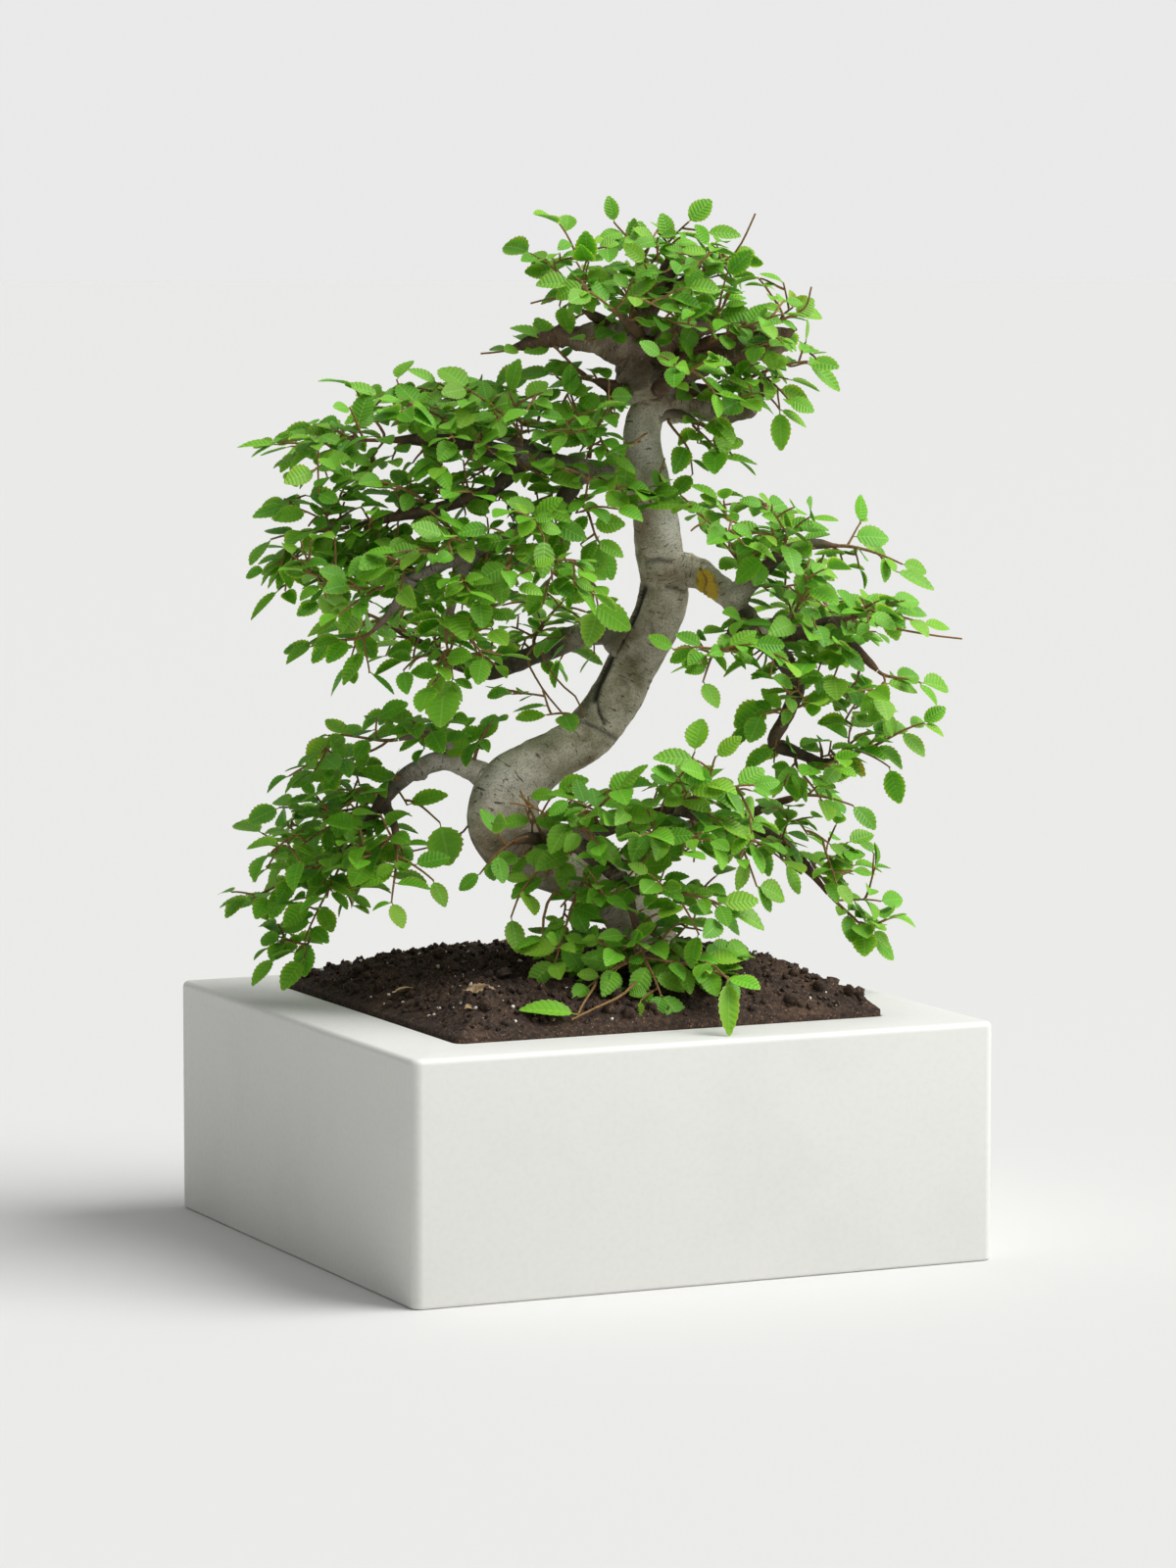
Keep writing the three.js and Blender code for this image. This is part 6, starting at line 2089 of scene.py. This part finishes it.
            line = self.shoot_line(where[best], leaving, tip, radius)
            outward = unit((tip - TREE_AXIS) * np.array([1, 1, 0]))
            facing = unit(UP + 0.3 * outward + np.array([0.05, -0.25, 0])
                          + draws.uniform(-0.35, 0.35, 3))
            leaves = None if number < leafy else 0
            shoots.append(Shoot(names[owner[best]], line, facing, leaves))
            new = [line.place(share) for share in (0.35, 0.55, 0.75)]
            where = np.vstack([where, [place.point for place in new]])
            along = np.vstack([along, [place.along for place in new]])
            owner = np.append(owner, [owner[best]] * len(new))
        return shoots

    def odd_growth(self, lines: dict[str, Line], grown: list[Shoot]) -> list[Shoot]:
        """The twigs that catch the eye, each a smooth curve through its route.

        Each leaves the limb or shoot at the point nearest to its route's start.
        """
        bearers = [*lines.values(), *(shoot.line for shoot in grown)]
        shares = np.linspace(0, 1, self.bearer_samples)
        wood = np.array([line.place(share).point for line in bearers for share in shares])
        shoots = []
        for twig in ODD_TWIGS:
            route = np.array(twig.route, float)
            away = np.linalg.norm(wood - route[0], axis=1)
            rest = route[1:] if away.min() < self.touching else route
            points = even_route(np.vstack([wood[np.argmin(away)], rest]), self.steps)
            line = Line(points, np.linspace(twig.thick, self.tip_radius, self.steps + 1))
            facing = unit(UP + np.array([0, -0.5, 0]))
            shoots.append(Shoot(twig.limb, line, facing, twig.leaves))
        return shoots

    def hang_leaves(self, lines: dict[str, Line], first: list[Shoot], fill: list[Shoot],
                    leaves: dict[str, list[tuple]]) -> dict[str, Array]:
        """Add leaves between the CAD's own and along the finer shoots, and thin out the lot.

        Args:
            lines: the wood's lines by limb.
            first: the CAD's shoots.
            fill: the finer shoots.
            leaves: the CAD's leaves by limb.

        Returns:
            The leaves of each limb, as rows of the LEAF kind.
        """
        draws = np.random.default_rng(self.fill_seed + 1)
        rows, owners, own = [], [], []
        for name, found in leaves.items():
            rows += found
            owners += [name] * len(found)
            own += [True] * len(found)
        for shoot, start in [(shoot, 0.3) for shoot in first] + [(shoot, 0.36) for shoot in fill]:
            run = shoot.line.length * (1 - start)
            count = int(np.clip(round(run / self.fill_spacing), 2, 6))
            count = count if shoot.leaves is None else shoot.leaves
            side = 1 if draws.random() < 0.5 else -1
            for order in range(count):
                at = 0.99 - (0.99 - start) * (count - 1 - order) / max(count - 1, 1)
                lean = math.radians(draws.uniform(20, 44) if order == count - 1
                                    else draws.uniform(42, 74))
                size = self.fill_length * draws.uniform(0.65, 1.35) * (0.85 + 0.15 * at)
                size *= self.crown_share if shoot.line.points[0, 2] > self.crown_start else 1
                facing = unit(shoot.facing + draws.uniform(-0.4, 0.4, 3))
                rows.append(self.leaf(
                    shoot.line.place(at), shoot.facing, side if order % 2 else -side, lean,
                    draws.uniform(-0.28, 0.3), facing, size,
                    size * self.width_share * draws.uniform(0.95, 1.25),
                    draws.uniform(0.06, 0.5), draws.uniform(0.0, 0.38), 0.5))
                owners.append(shoot.limb)
                own.append(False)
        own = np.array(own)
        table = np.array(rows, dtype=LEAF)
        for side in ("length", "width"):
            table[side][own] *= self.fine_share
        table["twist"] = draws.uniform(-0.4, 0.4, len(table))
        table["tint"] = draws.random(len(table))
        table["youth"] = np.clip(draws.normal(0.1, 0.13, len(table)), 0, 1)
        for leaf in ODD_LEAVES:
            root, tip = np.array(leaf.root, float), np.array(leaf.tip, float)
            length = float(np.linalg.norm(tip - root))
            row = (root, unit(tip - root), unit(np.array(leaf.facing)), length,
                   length * leaf.width, 0.3, 0.15, 0.2, 0.6, leaf.youth, leaf.fade)
            table = np.append(table, np.array([row], dtype=LEAF))
            owners.append(leaf.limb)
            own = np.append(own, True)
        keep = self.kept(lines, table, own)
        owners = np.array(owners)
        log.info("%d leaves of %d kept", keep.sum(), len(table))
        return {name: table[keep & (owners == name)] for name in lines}

    def kept(self, lines: dict[str, Line], table: Array, own: NDArray[np.bool_]) -> Array:
        """Which leaves stay: clear of the gaps, the bare trunk, the wood and one another.

        The CAD's own leaves and the odd ones always stay.
        """
        middle = table["root"] + unit(table["direction"]) * (table["length"] * 0.55)[:, None]
        seen = seen_from_front(middle)
        keep = np.ones(len(table), bool)
        for centre, reach in GAPS:
            offset = (seen[:, [0, 2]] - centre) / np.array(reach)
            keep &= np.sum(offset**2, axis=1) > 1
        bare = lines["trunk"]
        for point, radius in zip(bare.points[BARE_TRUNK], bare.radii[BARE_TRUNK]):
            ahead = middle[:, 1] < point[1]
            aside = np.linalg.norm((seen - point)[:, [0, 2]], axis=1)
            near = aside < radius + self.trunk_margin
            keep &= ~(ahead & near)
        for line in lines.values():
            places = [line.place(share) for share in np.linspace(0, 1, self.wood_samples)]
            points = np.array([place.point for place in places])
            radii = np.array([place.radius for place in places])
            apart = np.linalg.norm(middle[:, None] - points[None], axis=2)
            keep &= np.all(apart > radii + self.wood_margin, axis=1)
        keep |= own
        placed = middle[own]
        for row in np.flatnonzero(keep & ~own):
            if np.min(np.linalg.norm(placed - middle[row], axis=1)) < self.leaf_room:
                keep[row] = False
            else:
                placed = np.vstack([placed, middle[row]])
        return keep


def write_sizes() -> None:
    """Update the view layer."""
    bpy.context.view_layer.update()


def main() -> None:
    """Build the studio and the object, from the ground up."""
    logging.basicConfig(level=logging.INFO, format="%(message)s")
    Studio().build()
    planter = Planter()
    planter.build()
    DrainScreens().build()
    SoilBed(planter).build()
    wood = Wood()
    wood.build()
    Foliage(wood, LeafShape()).build()
    write_sizes()


if __name__ == "__main__":
    main()
